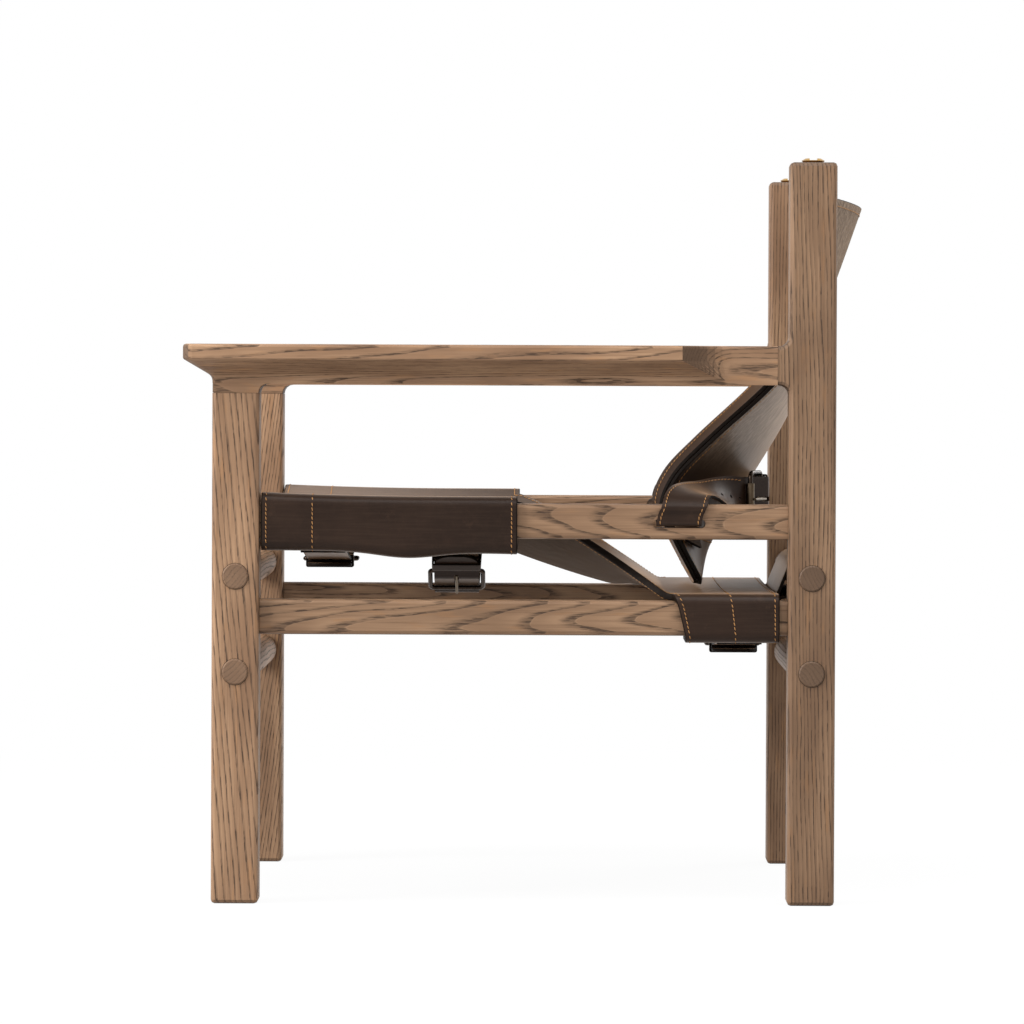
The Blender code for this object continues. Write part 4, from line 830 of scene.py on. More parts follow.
def smooth_through(points: Sequence[Vector], steps: int) -> list[Vector]:
    """A smooth curve through points whose spacing may be uneven.

    Args:
        points: What the curve goes through.
        steps: How many runs it has from each point to the next.

    Returns:
        The curve's points.
    """
    points = [Vector(point) for point in points]
    knots = [0.0]
    for here, there in zip(points, points[1:]):
        knots.append(knots[-1] + math.sqrt((there - here).length))
    slopes = []
    for number in range(len(points)):
        before, after = max(number - 1, 0), min(number + 1, len(points) - 1)
        slopes.append((points[after] - points[before]) / (knots[after] - knots[before]))
    curve = []
    for number in range(len(points) - 1):
        run = knots[number + 1] - knots[number]
        ends = points[number], slopes[number], points[number + 1], slopes[number + 1]
        curve += [eased(*ends, run, step / steps) for step in range(steps)]
    return [*curve, points[-1]]


def even_steps(values: Sequence[Vector], steps: int) -> list[Vector]:
    """Directions that turn evenly from each of values to the next, with steps runs between them.

    Args:
        values: Two directions or more.
        steps: How many runs lie between two of them.

    Returns:
        All the directions, from the first of values to the last.
    """
    turned = []
    for here, there in zip(values, values[1:]):
        turned += [here.lerp(there, step / steps) for step in range(steps)]
    return [*turned, values[-1]]


def smooth_value(table: Sequence[FlatPoint], share: float) -> float:
    """The value at share on a smooth curve through a table of (share, value) pairs.

    Args:
        table: The pairs, with rising shares.
        share: Where the curve is read.

    Returns:
        The value.
    """
    here = max(index for index, (place, _) in enumerate(table[:-1]) if place <= share or not index)
    (start, low), (end, high) = table[here], table[here + 1]
    before, after = table[max(here - 1, 0)], table[min(here + 2, len(table) - 1)]
    run = end - start
    slope_in = (high - before[1]) / (end - before[0])
    slope_out = (after[1] - low) / (after[0] - start)
    return eased(low, slope_in, high, slope_out, run, (share - start) / run)


def relaxed(rows: Sequence[Row], rounds: int = 2) -> list[Row]:
    """Rounds a coarse run of rows: each round cuts every corner at a quarter and three quarters.

    Args:
        rows: Rows of points along a strap.
        rounds: How often the corners are cut.

    Returns:
        The finer rows, with the first and last as they were.
    """
    for _ in range(rounds):
        finer = [rows[0]]
        for here, there in zip(rows, rows[1:]):
            for share in (0.25, 0.75):
                finer.append([low.lerp(high, share) for low, high in zip(here, there)])
        finer.append(rows[-1])
        rows = finer
    return list(rows)


def evenly_spaced(points: Sequence[Vector], pitch: float) -> list[tuple[Vector, float]]:
    """Walks along a line of points.

    Args:
        points: The line.
        pitch: The wanted spacing, which is changed a little to fit the line's length.

    Returns:
        Each stop with its place in the line, as a point number with a fraction.
    """
    lengths = [(there - here).length for here, there in zip(points, points[1:])]
    total = sum(lengths)
    count = max(round(total / pitch), 1)
    stops, done, number = [], 0.0, 0
    for stop in range(count):
        wanted = total * (stop + 0.5) / count
        while number < len(lengths) - 1 and done + lengths[number] < wanted:
            done += lengths[number]
            number += 1
        share = (wanted - done) / max(lengths[number], 1e-9)
        stops.append((points[number].lerp(points[number + 1], share), number + share))
    return stops


def finished_mesh(bm: bmesh.types.BMesh, name: str) -> bpy.types.Mesh:
    """A new mesh with what a bmesh holds; the bmesh is freed.

    Args:
        bm: What the mesh is to hold.
        name: What the mesh is called.

    Returns:
        The mesh.
    """
    mesh = bpy.data.meshes.new(name)
    bm.to_mesh(mesh)
    bm.free()
    return mesh


def surface_mesh(
    name: str,
    rows: Sequence[Row],
    outward: Vector,
    keep: Callable[[int, int], bool] = lambda row, column: True,
) -> bpy.types.Mesh:
    """An open surface through rows of points, made from a grid.

    Args:
        name: The mesh's name.
        rows: The rows, each with as many points as the next.
        outward: The rough direction of the leather's grain side, over the surface as a whole.
        keep: Says of a row and a column whether the face between them and the next is kept.

    Returns:
        The mesh.
    """
    across, faces_across = len(rows[0]), len(rows[0]) - 1
    bm = bmesh.new()
    bmesh.ops.create_grid(bm, x_segments=faces_across, y_segments=len(rows) - 1, size=1)
    bm.verts.ensure_lookup_table()
    bm.faces.ensure_lookup_table()
    for row, points in enumerate(rows):
        for column, point in enumerate(points):
            bm.verts[row * across + column].co = point
    dropped = [face for face in bm.faces if not keep(*divmod(face.index, faces_across))]
    bmesh.ops.delete(bm, geom=dropped, context="FACES")
    bm.normal_update()
    facing = sum((face.normal * face.calc_area() for face in bm.faces), Vector())
    if facing.dot(outward) < 0:
        bmesh.ops.reverse_faces(bm, faces=bm.faces)
    return finished_mesh(bm, name)


def placed(
    name: str, data: bpy.types.ID, finishes: Iterable[bpy.types.Material] = ()
) -> bpy.types.Object:
    """Puts a mesh, curve, lamp or camera in the scene, with its finishes.

    Args:
        name: What the object is called.
        data: The mesh, curve, lamp or camera.
        finishes: Its materials, in the order of its slots.

    Returns:
        The object.
    """
    piece = bpy.data.objects.new(name, data)
    bpy.context.scene.collection.objects.link(piece)
    for finish in finishes:
        piece.data.materials.append(finish)
    return piece


def repaint(name: str, finish: bpy.types.Material) -> None:
    """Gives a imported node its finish."""
    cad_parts[name].material_slots[0].material = finish


def recorded(piece: bpy.types.Object, node: str = "") -> bpy.types.Object:
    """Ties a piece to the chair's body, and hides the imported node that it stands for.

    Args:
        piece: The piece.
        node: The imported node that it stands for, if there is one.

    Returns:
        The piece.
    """
    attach(piece, "chair")
    if node:
        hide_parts(node)
    return piece


def settle(piece: bpy.types.Object) -> None:
    """Applies a piece's modifiers, and shades its round faces smooth.

    Args:
        piece: The piece, which keeps its materials.
    """
    bpy.context.view_layer.update()
    evaluated = piece.evaluated_get(bpy.context.evaluated_depsgraph_get())
    mesh = bpy.data.meshes.new_from_object(evaluated)
    piece.modifiers.clear()
    old = piece.data
    piece.data = mesh
    bpy.data.meshes.remove(old)
    mesh.name = piece.name
    mesh.shade_smooth()
    mesh.set_sharp_from_angle(angle=SMOOTH_ANGLE)


def thicken(piece: bpy.types.Object, thickness: float, rounding: float) -> None:
    """Turns a surface into leather: gives it its thickness, its cut edge's finish and rounded arrises.

    Args:
        piece: The piece, whose finishes are the grain side, the cut edge and the flesh side.
        thickness: The leather's thickness.
        rounding: How far the arrises are rounded.
    """
    solidify = piece.modifiers.new("leather", "SOLIDIFY")
    solidify.thickness = thickness
    solidify.offset = 0
    solidify.use_even_offset = True
    solidify.use_quality_normals = True
    solidify.material_offset = 2
    solidify.material_offset_rim = 1
    bevel = piece.modifiers.new("arris", "BEVEL")
    bevel.width = rounding
    bevel.segments = 2
    bevel.profile = 0.5
    bevel.limit_method = "ANGLE"
    bevel.angle_limit = ARRIS_ANGLE
    bevel.material = 1
    bevel.use_clamp_overlap = True
    settle(piece)


def cut_away(piece: bpy.types.Object, cutters: Iterable[bpy.types.Mesh]) -> None:
    """Cuts holes through a piece, one by each closed mesh of cutters.

    Args:
        piece: The piece that is cut.
        cutters: The meshes, in the scene's own frame.
    """
    tools = []
    for number, mesh in enumerate(cutters, start=1):
        tool = placed(f"{piece.name}_cutter_{number}", mesh)
        tools.append(tool)
        boolean = piece.modifiers.new("hole", "BOOLEAN")
        boolean.operation = "DIFFERENCE"
        boolean.solver = "EXACT"
        boolean.object = tool
    settle(piece)
    for tool in tools:
        bpy.data.meshes.remove(tool.data)


def leather_piece(
    node: str,
    rows: Sequence[Row],
    outward: Vector,
    finishes: Sequence[bpy.types.Material],
    make: tuple[float, float],
    keep: Callable[[int, int], bool] = lambda row, column: True,
    cutters: Sequence[bpy.types.Mesh] = (),
) -> bpy.types.Object:
    """Builds a piece of leather in its solid's place, from the surface through its middle.

    Args:
        node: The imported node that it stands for.
        rows: The surface's rows of points.
        outward: The rough direction of its grain side.
        finishes: The grain side, the cut edge and the flesh side.
        make: The leather's thickness, and how far its arrises are rounded.
        keep: Says of a row and a column whether the face between them and the next is kept.
        cutters: A closed mesh for each hole.

    Returns:
        The piece, which rides on the chair.
    """
    name = f"{node}_leather"
    piece = placed(name, surface_mesh(name, rows, outward, keep), finishes)
    thicken(piece, *make)
    if cutters:
        cut_away(piece, cutters)
    return recorded(piece, node)


def rounded(
    bm: bmesh.types.BMesh, edges: Sequence[bmesh.types.BMEdge], reach: float, steps: int
) -> None:
    """Rounds edges of a bmesh, so far and in so many steps.

    Args:
        bm: The bmesh.
        edges: Which of its edges are rounded.
        reach: How far to both sides of an edge the rounding goes.
        steps: How many faces go round it.
    """
    bmesh.ops.bevel(
        bm, geom=edges, offset=reach, segments=steps, profile=0.5, affect="EDGES", material=-1
    )


def punched(start: Vector, end: Vector, radius: float) -> bpy.types.Mesh:
    """A round cutter from start to end.

    Args:
        start: The middle of one end.
        end: The middle of the other end.
        radius: The cutter's radius.

    Returns:
        The cutter's closed mesh.
    """
    along = end - start
    turn = along.to_track_quat("Z", "Y").to_matrix().to_4x4()
    bm = bmesh.new()
    bmesh.ops.create_cone(
        bm,
        cap_ends=True,
        segments=PUNCH_SIDES,
        radius1=radius,
        radius2=radius,
        depth=along.length,
        matrix=Matrix.Translation((start + end) / 2) @ turn,
    )
    return finished_mesh(bm, "punch")


def slitted(place: Matrix, size: tuple[float, float, float], middle: Vector) -> bpy.types.Mesh:
    """A cutter for a slit with round ends, in a buckle's own frame.

    Args:
        place: The buckle's frame.
        size: The slit's length, width and depth.
        middle: Its middle, in that frame.

    Returns:
        The cutter.
    """
    bm = bmesh.new()
    bmesh.ops.create_cube(bm, size=1, matrix=Matrix.Translation(middle) @ Matrix.Diagonal((*size, 1)))
    upright = [edge for edge in bm.edges if abs((edge.verts[1].co - edge.verts[0].co).z) > size[2] / 2]
    rounded(bm, upright, size[1] * 0.49, 5)
    bmesh.ops.transform(bm, matrix=place, verts=bm.verts)
    bmesh.ops.recalc_face_normals(bm, faces=bm.faces)
    return finished_mesh(bm, "slit")


@dataclass
class SurfaceMap:
    """Finds points on a sheet by its rows and columns, with fractions between them."""

    rows: Sequence[Row]
    sign: int = 1
    reach: float = 0.35

    def at(self, row: float, column: float) -> Vector:
        """The point at a row and a column.

        Args:
            row: The row's number, with a fraction.
            column: The column's number, with a fraction.

        Returns:
            The point.
        """
        row = min(max(row, 0), len(self.rows) - 1)
        column = min(max(column, 0), len(self.rows[0]) - 1)
        upper = min(int(row), len(self.rows) - 2)
        left = min(int(column), len(self.rows[0]) - 2)
        top = self.rows[upper][left].lerp(self.rows[upper][left + 1], column - left)
        low = self.rows[upper + 1][left].lerp(self.rows[upper + 1][left + 1], column - left)
        return top.lerp(low, row - upper)

    def facing(self, row: float, column: float) -> Vector:
        """The direction of the grain side at a row and a column.

        Args:
            row: The row's number, with a fraction.
            column: The column's number, with a fraction.

        Returns:
            The direction, of length 1.
        """
        over = self.at(row, column + self.reach) - self.at(row, column - self.reach)
        along = self.at(row + self.reach, column) - self.at(row - self.reach, column)
        return over.cross(along).normalized() * self.sign

    def turn_to(self, row: float, column: float, outward: Vector) -> None:
        """Takes the grain side to be the one that looks outward at a row and a column."""
        if self.facing(row, column).dot(outward) < 0:
            self.sign = -1

    def row_at(self, value: float, axis: int, column: float) -> float:
        """The row, with its fraction, where a column crosses a level of one coordinate.

        Args:
            value: The level.
            axis: 0, 1 or 2, for x, y or z.
            column: The column's number, with a fraction.

        Returns:
            The row, or the nearer end row where the column stays clear of the level.
        """
        line = [self.at(row, column)[axis] for row in range(len(self.rows))]
        for row, (here, there) in enumerate(zip(line, line[1:])):
            if (here - value) * (there - value) <= 0 and here != there:
                return row + (value - here) / (there - here)
        return 0.0 if abs(line[0] - value) < abs(line[-1] - value) else len(line) - 1.0


@dataclass(frozen=True)
class StitchLine:
    """A row of stitches: where it runs and which way its face looks."""

    points: list[Vector]
    facings: list[Vector]

    @property
    def turned(self) -> "StitchLine":
        """The same line on the leather's other side."""
        return StitchLine(self.points, [-facing for facing in self.facings])


@dataclass(frozen=True)
class Stitching:
    """Saddle stitches in waxed thread, all of one size."""

    length: float = 0.0042
    width: float = 0.0011
    height: float = 0.0010
    pitch: float = 0.0048
    slant: float = math.radians(11)
    chunk: int = 60
    sunk: float = 0.12

    def template(self) -> bpy.types.Mesh:
        """One stitch along X, whose height is along Z.

        Returns:
            The stitch's mesh.
        """
        bm = bmesh.new()
        bmesh.ops.create_uvsphere(bm, u_segments=6, v_segments=4, radius=1)
        shape = Matrix.Rotation(math.pi / 2, 4, "Y")
        size = Matrix.Diagonal((self.length / 2, self.width / 2, self.height / 2, 1))
        bmesh.ops.transform(bm, matrix=size @ shape, verts=bm.verts)
        return finished_mesh(bm, "stitch")

    def sew(
        self, name: str, lines: Iterable[StitchLine], surface: float, thread: bpy.types.Material
    ) -> bpy.types.Object:
        """Sews lines of stitches as one piece.

        Args:
            name: The piece's name.
            lines: The lines.
            surface: How far the leather's surface is from the lines, along their facings.
            thread: The finish.

        Returns:
            The piece.
        """
        stitch = self.template()
        places = [place for line in lines for place in self.places(line, surface)]
        whole = bmesh.new()
        for start in range(0, len(places), self.chunk):
            part = bmesh.new()
            for place in places[start : start + self.chunk]:
                known = len(part.verts)
                part.from_mesh(stitch)
                bmesh.ops.transform(part, matrix=place, verts=part.verts[known:])
            mesh = finished_mesh(part, "stitches")
            whole.from_mesh(mesh)
            bpy.data.meshes.remove(mesh)
        bpy.data.meshes.remove(stitch)
        mesh = finished_mesh(whole, name)
        mesh.shade_smooth()
        return recorded(placed(name, mesh, [thread]))

    def places(self, line: StitchLine, surface: float) -> list[Matrix]:
        """Where each stitch of a line goes.

        Args:
            line: The line.
            surface: How far the leather's surface is from the line, along its facings.

        Returns:
            A matrix for each stitch.
        """
        found = []
        for point, place in evenly_spaced(line.points, self.pitch):
            number = min(int(place), len(line.points) - 2)
            along = (line.points[number + 1] - line.points[number]).normalized()
            facing = line.facings[number].lerp(line.facings[number + 1], place - number)
            side = facing.cross(along).normalized()
            facing = along.cross(side)
            frame_here = Matrix((along, side, facing)).transposed().to_4x4()
            centre = point + facing * (surface + self.height * self.sunk)
            found.append(Matrix.Translation(centre) @ frame_here @ Matrix.Rotation(self.slant, 4, "Z"))
        return found


def line_on(sheet: SurfaceMap, start: FlatPoint, end: FlatPoint, runs: int) -> StitchLine:
    """A stitch line over a sheet.

    Args:
        sheet: The sheet.
        start: The row and column that it starts from.
        end: The row and column that it ends at.
        runs: How many runs it has.

    Returns:
        The line.
    """
    places = list(zip(spread(start[0], end[0], runs), spread(start[1], end[1], runs)))
    points = [sheet.at(*place) for place in places]
    return StitchLine(points, [sheet.facing(*place) for place in places])


@dataclass
class SeatSling:
    """The seat: a sheet over the upper side rails in front and over the lower side rails behind."""

    sizes: ChairSizes
    dressing: Dressing
    stitching: Stitching = field(default_factory=Stitching)
    leather: float = 0.007
    gap: float = 0.0003
    rounding: float = 0.0011
    front_clearance: float = 0.002
    front_wrap: float = 0.272
    rear_wrap: float = 0.117
    rear_clearance: float = 0.009
    rear_slant: float = 0.017
    front_slack: float = 0.006
    front_rise: float = 0.0038
    belly: float = 0.0065
    belly_share: float = 0.57
    belly_spread: float = 0.16
    droop: float = 0.0032
    belly_end: float = 0.275
    nose_sag: float = 0.030
    waist_sag: float = 0.0605
    rear_sag: float = 0.002
    edge_inset: float = 0.009
    waist_inset: float = 0.010
    flap_end: float = 0.212
    fall_power: float = 1.35
    edge_power: float = 1.2
    landing: float = 0.03
    middle_share: float = 0.95
    flare_start: float = 0.62
    hem: float = 0.0052
    hem_depth: float = 0.0492
    seam_inset: float = 0.0060
    centre_columns: int = 44
    down_columns: int = 7
    flap_columns: int = 9
    rows_in_front: int = 40
    rows_at_waist: int = 34
    rows_behind: int = 18
    loop_leather: float = 0.003
    loop_rounding: float = 0.0006
    loop_width: float = 0.330
    loop_tail: float = 0.060
    loop_edge_steps: int = 5
    loop_bar_steps: int = 22
    loop_columns: int = 12
    inner_bends: int = 3
    outer_bends: int = 7
    rise_end: float = 0.7
    first_lag: float = 0.36
    lag_rate: float = 9.0
    lag_speed: float = 1.6
    seam_start: float = 0.6
    hem_runs: int = 260
    edge_runs: int = 90

    @property
    def inner_x(self) -> float:
        """The rails' inner faces."""
        return self.sizes.leg_x - self.sizes.rail_half

    @property
    def outer_x(self) -> float:
        """The rails' outer faces."""
        return self.sizes.leg_x + self.sizes.rail_half

    @property
    def edge_x(self) -> float:
        """How far out the sheet's free edge at the waist is."""
        return self.inner_x - self.edge_inset

    @property
    def lift(self) -> float:
        """From a rail's face to the middle of the leather."""
        return self.gap + self.leather / 2

    @property
    def front(self) -> float:
        """The seat's front edge."""
        return self.sizes.front_y + self.sizes.half_leg + self.front_clearance

    @property
    def waist_start(self) -> float:
        """Where the front wraps end."""
        return self.front + self.front_wrap

    @property
    def rear(self) -> float:
        """The seat's rear edge."""
        return self.sizes.post_y - self.sizes.half_leg - self.rear_clearance

    @property
    def waist_end(self) -> float:
        """Where the rear wraps start."""
        return self.rear - self.rear_wrap

    def rail_profile(
        self,
        rail: float,
        sag: float,
        reach: float,
        slack: float = 0,
        belly: float = 0,
        rise: float = 0,
    ) -> list[FlatPoint]:
        """The sheet's line from the middle of the seat outwards, over a rail and under it.

        Args:
            rail: The height of the rail's middle.
            sag: How far the middle of the seat lies below the rail's top.
            reach: How far out the free edge of the waist meets the line.
            slack: How far the sheet hangs below the rail.
            belly: How much further it hangs beside the rail.
            rise: How far it stands above the rail.

        Returns:
            (x, z) for each column.
        """
        edge = self.sizes.rail_edge
        top = rail + self.sizes.rail_height / 2 - edge + rise
        bottom = rail - self.sizes.rail_height / 2 + edge - slack
        radius = edge + self.lift
        inner, outer = self.inner_x + edge, self.outer_x - edge
        lean = math.atan(2 * sag / inner)
        leave_x = inner - radius * math.sin(lean)
        leave_z = top + radius * math.cos(lean)
        lowest = top + radius - sag
        profile = []
        for column in range(self.centre_columns + 1):
            x = reach * column / self.centre_columns
            on_rail = x > leave_x
            profile.append((x, top + radius if on_rail else mix(lowest, leave_z, (x / leave_x) ** 2)))
        upright = math.pi / 2
        inside = corner((inner, top), radius, upright + lean, upright, self.inner_bends)
        outside = corner((outer, top), radius, upright, 0, self.outer_bends)
        down = self.down_columns
        if reach < inner:
            profile += inside + outside
        else:
            profile += outside[1:]
            down += len(inside) + 1
        wall = outer + radius
        bottom -= belly
        profile += [(wall, mix(top, bottom, step / (down + 1))) for step in range(1, down + 1)]
        profile += corner((outer, bottom), radius, 0, -upright, self.outer_bends)
        for step in range(1, self.flap_columns + 1):
            x = mix(outer, self.flap_end, step / self.flap_columns)
            under = min((outer - x) / (outer - self.belly_end), 1)
            profile.append((x, bottom - radius + belly * under * under * (3 - 2 * under)))
        return profile

    def front_profile(self, share: float) -> list[FlatPoint]:
        """The line at a share of the way from the seat's nose to the end of the front wraps.

        Args:
            share: The share of the way, from 0 to 1.

        Returns:
            The line's x and z, from the middle outwards.
        """
        sag = mix(self.nose_sag, self.waist_sag, share**2)
        bulge = math.exp(-(((share - self.belly_share) / self.belly_spread) ** 2))
        belly = self.belly * bulge + self.droop * share**2
        rise = self.front_rise * max(1 - share / self.rise_end, 0) ** 2
        rail = self.sizes.upper_rail
        return self.rail_profile(rail, sag, self.edge_x, self.front_slack, belly, rise)

    def rear_profile(self) -> list[FlatPoint]:
        """The line over the lower rails."""
        reach = self.outer_x - self.sizes.rail_edge
        return self.rail_profile(self.sizes.lower_rail, self.rear_sag, reach)

    def waist_profile(self, share: float) -> list[FlatPoint]:
        """The line between the wraps, where the edges are free and flare out onto the lower rails.

        Args:
            share: How far back the line lies, from 0 at the front wraps to 1 at the rear ones.

        Returns:
            The line's x and z, from the middle outwards.
        """
        before, after = self.front_profile(1), self.rear_profile()
        edge = self.centre_columns
        lowest = mix(after[0][1], before[0][1], (1 - share) ** self.fall_power)
        left = math.hypot(1 - share**self.edge_power, self.landing) - self.landing
        left /= math.hypot(1, self.landing) - self.landing
        high = mix(after[edge][1], before[edge][1], left)
        flare = max((share - self.flare_start) / (1 - self.flare_start), 0)
        flare *= flare * (3 - 2 * flare)
        reach = mix(self.edge_x, after[edge][0], flare) - self.waist_inset * 4 * share * (1 - share)
        profile = []
        for column in range(edge + 1):
            part = column / edge
            hanging = mix(lowest, high, part**2)
            lying = after[column][1] + (high - after[edge][1]) * mix(self.middle_share, 1, part**2)
            profile.append((reach * part, mix(hanging, lying, flare)))
        return profile + [profile[-1]] * (len(before) - len(profile))

    def rows(self) -> list[Row]:
        """All the sheet's rows, from its nose to its rear edge.

        Returns:
            The rows, each from the right edge to the left.
        """
        found = []
        for step in range(self.rows_in_front + 1):
            share = step / self.rows_in_front
            found.append((mix(self.front, self.waist_start, share), self.front_profile(share), 0.0))
        for step in range(1, self.rows_at_waist):
            share = step / self.rows_at_waist
            place = mix(self.waist_start, self.waist_end, share)
            found.append((place, self.waist_profile(share), 0.0))
        for step in range(self.rows_behind + 1):
            share = step / self.rows_behind
            slant = self.rear_slant * (1 - share)
            found.append((mix(self.waist_end, self.rear, share), self.rear_profile(), slant))
        return [self.full_row(*row) for row in found]

    def full_row(self, place: float, profile: list[FlatPoint], slant: float) -> Row:
        """One row from the right flap's end to the left flap's.

        Args:
            place: The row's y.
            profile: Its line on the left.
            slant: How far its flap's end lies behind its middle.

        Returns:
            The row's points.
        """
        left = []
        for column, (x, z) in enumerate(profile):
            down = max(column - self.centre_columns, 0) / (len(profile) - 1 - self.centre_columns)
            first = 1 - math.exp(-self.lag_rate * down)
            lag = mix(min(down * self.lag_speed, 1), first, self.first_lag)
            left.append(Vector((x, place + slant * lag, z)))
        right = [Vector((-point.x, point.y, point.z)) for point in reversed(left[1:])]
        return right + left

    def build(self) -> list[bpy.types.Object]:
        """Builds the sheet, its stitching and the rear loop.

        Returns:
            The pieces.
        """
        rows = self.rows()
        side = (len(rows[0]) - 1) // 2 - self.centre_columns
        last_in_front = self.rows_in_front
        first_behind = self.rows_in_front + self.rows_at_waist

        def keep(row: int, column: int) -> bool:
            """Leaves the wraps' columns out at the waist."""
            in_wrap = column < side or column >= side + 2 * self.centre_columns
            return not in_wrap or row < last_in_front or row >= first_behind

        make = self.leather, self.rounding
        sling = leather_piece("seat_sling", rows, Vector((0, 0, 1)), self.dressing.leather, make, keep)
        flat = length_of(rows[0]), length_of([row[len(row) // 2] for row in rows])
        return [sling, *self.sew(SurfaceMap(rows), side), self.build_rear_loop()]

    def sew(self, sheet: SurfaceMap, side: int) -> list[bpy.types.Object]:
        """Sews the hems and the edges of the wraps and the waist.

        Args:
            sheet: The sheet.
            side: How many columns each wrap has.

        Returns:
            The stitching's pieces.
        """
        last = len(sheet.rows[0]) - 1
        middle = last // 2
        sheet.turn_to(2, middle, Vector((0, 0, 1)))
        start = self.seam_start
        lines = []
        for edge, inwards in ((self.front, 1), (self.rear, -1)):
            for inset in (self.hem, self.hem + self.hem_depth):
                row = sheet.row_at(edge + inwards * inset, 1, middle)
                lines.append(line_on(sheet, (row, start), (row, last - start), self.hem_runs))
        spacing = self.edge_x / self.centre_columns
        in_front = self.rows_in_front - self.seam_inset / (self.front_wrap / self.rows_in_front)
        first_behind = self.rows_in_front + self.rows_at_waist
        behind = first_behind + self.seam_inset / (self.rear_wrap / self.rows_behind)
        edges = []
        for outer, inner in ((start, side), (last - start, last - side)):
            turn = inner + (1 if inner < middle else -1) * self.seam_inset / spacing
            stops = (in_front, outer), (in_front, turn), (behind, turn), (behind, outer)
            edges += [line_on(sheet, *ends, self.edge_runs) for ends in zip(stops, stops[1:])]
        half, thread = self.leather / 2, self.dressing.thread
        below = [line.turned for line in edges[1::3] + lines]
        return [
            self.stitching.sew("seat_stitching", lines + edges, half, thread),
            self.stitching.sew("seat_stitching_under", below, half, thread),
        ]

    def build_rear_loop(self) -> bpy.types.Object:
        """The sleeve under the seat's rear edge, which goes round the rear upper cross bar.

        Returns:
            The sleeve.
        """
        sizes = self.sizes
        edge = (self.rear, self.rear_profile()[0][1] - self.leather / 2)
        inner = self.gap + self.loop_leather / 2
        outer = inner + self.loop_leather + 2 * self.gap
        bar = (sizes.post_y, sizes.upper_cross)
        radius = sizes.cross_radius + inner

        def touch(reach: float, way: int) -> float:
            """The angle at which a straight run from beside the seat's edge touches the cross bar."""
            run = Vector((edge[0] + reach - bar[0], edge[1] - bar[1]))
            return math.atan2(run.y, run.x) + way * math.acos(radius / run.length)

        down = -math.pi / 2
        tail = [(edge[0] - self.loop_tail, edge[1] - inner)]
        under = corner(edge, inner, down, 0, self.loop_edge_steps)
        wrap = corner(
            bar, radius, touch(inner, -1) + 2 * math.pi, touch(outer, 1), self.loop_bar_steps
        )
        back = corner(edge, outer, 0, down, self.loop_edge_steps)
        path = [*tail, *under, *wrap, *back, (edge[0] - self.loop_tail, edge[1] - outer)]
        across = spread(-self.loop_width / 2, self.loop_width / 2, self.loop_columns)
        rows = [[Vector((x, y, z)) for x in across] for y, z in path]
        make = self.loop_leather, self.loop_rounding
        loop = leather_piece("seat_rear_loop", rows, Vector((0, 1, 0)), self.dressing.leather, make)
        flat = self.loop_width, length_of([row[self.loop_columns // 2] for row in rows])
        return loop


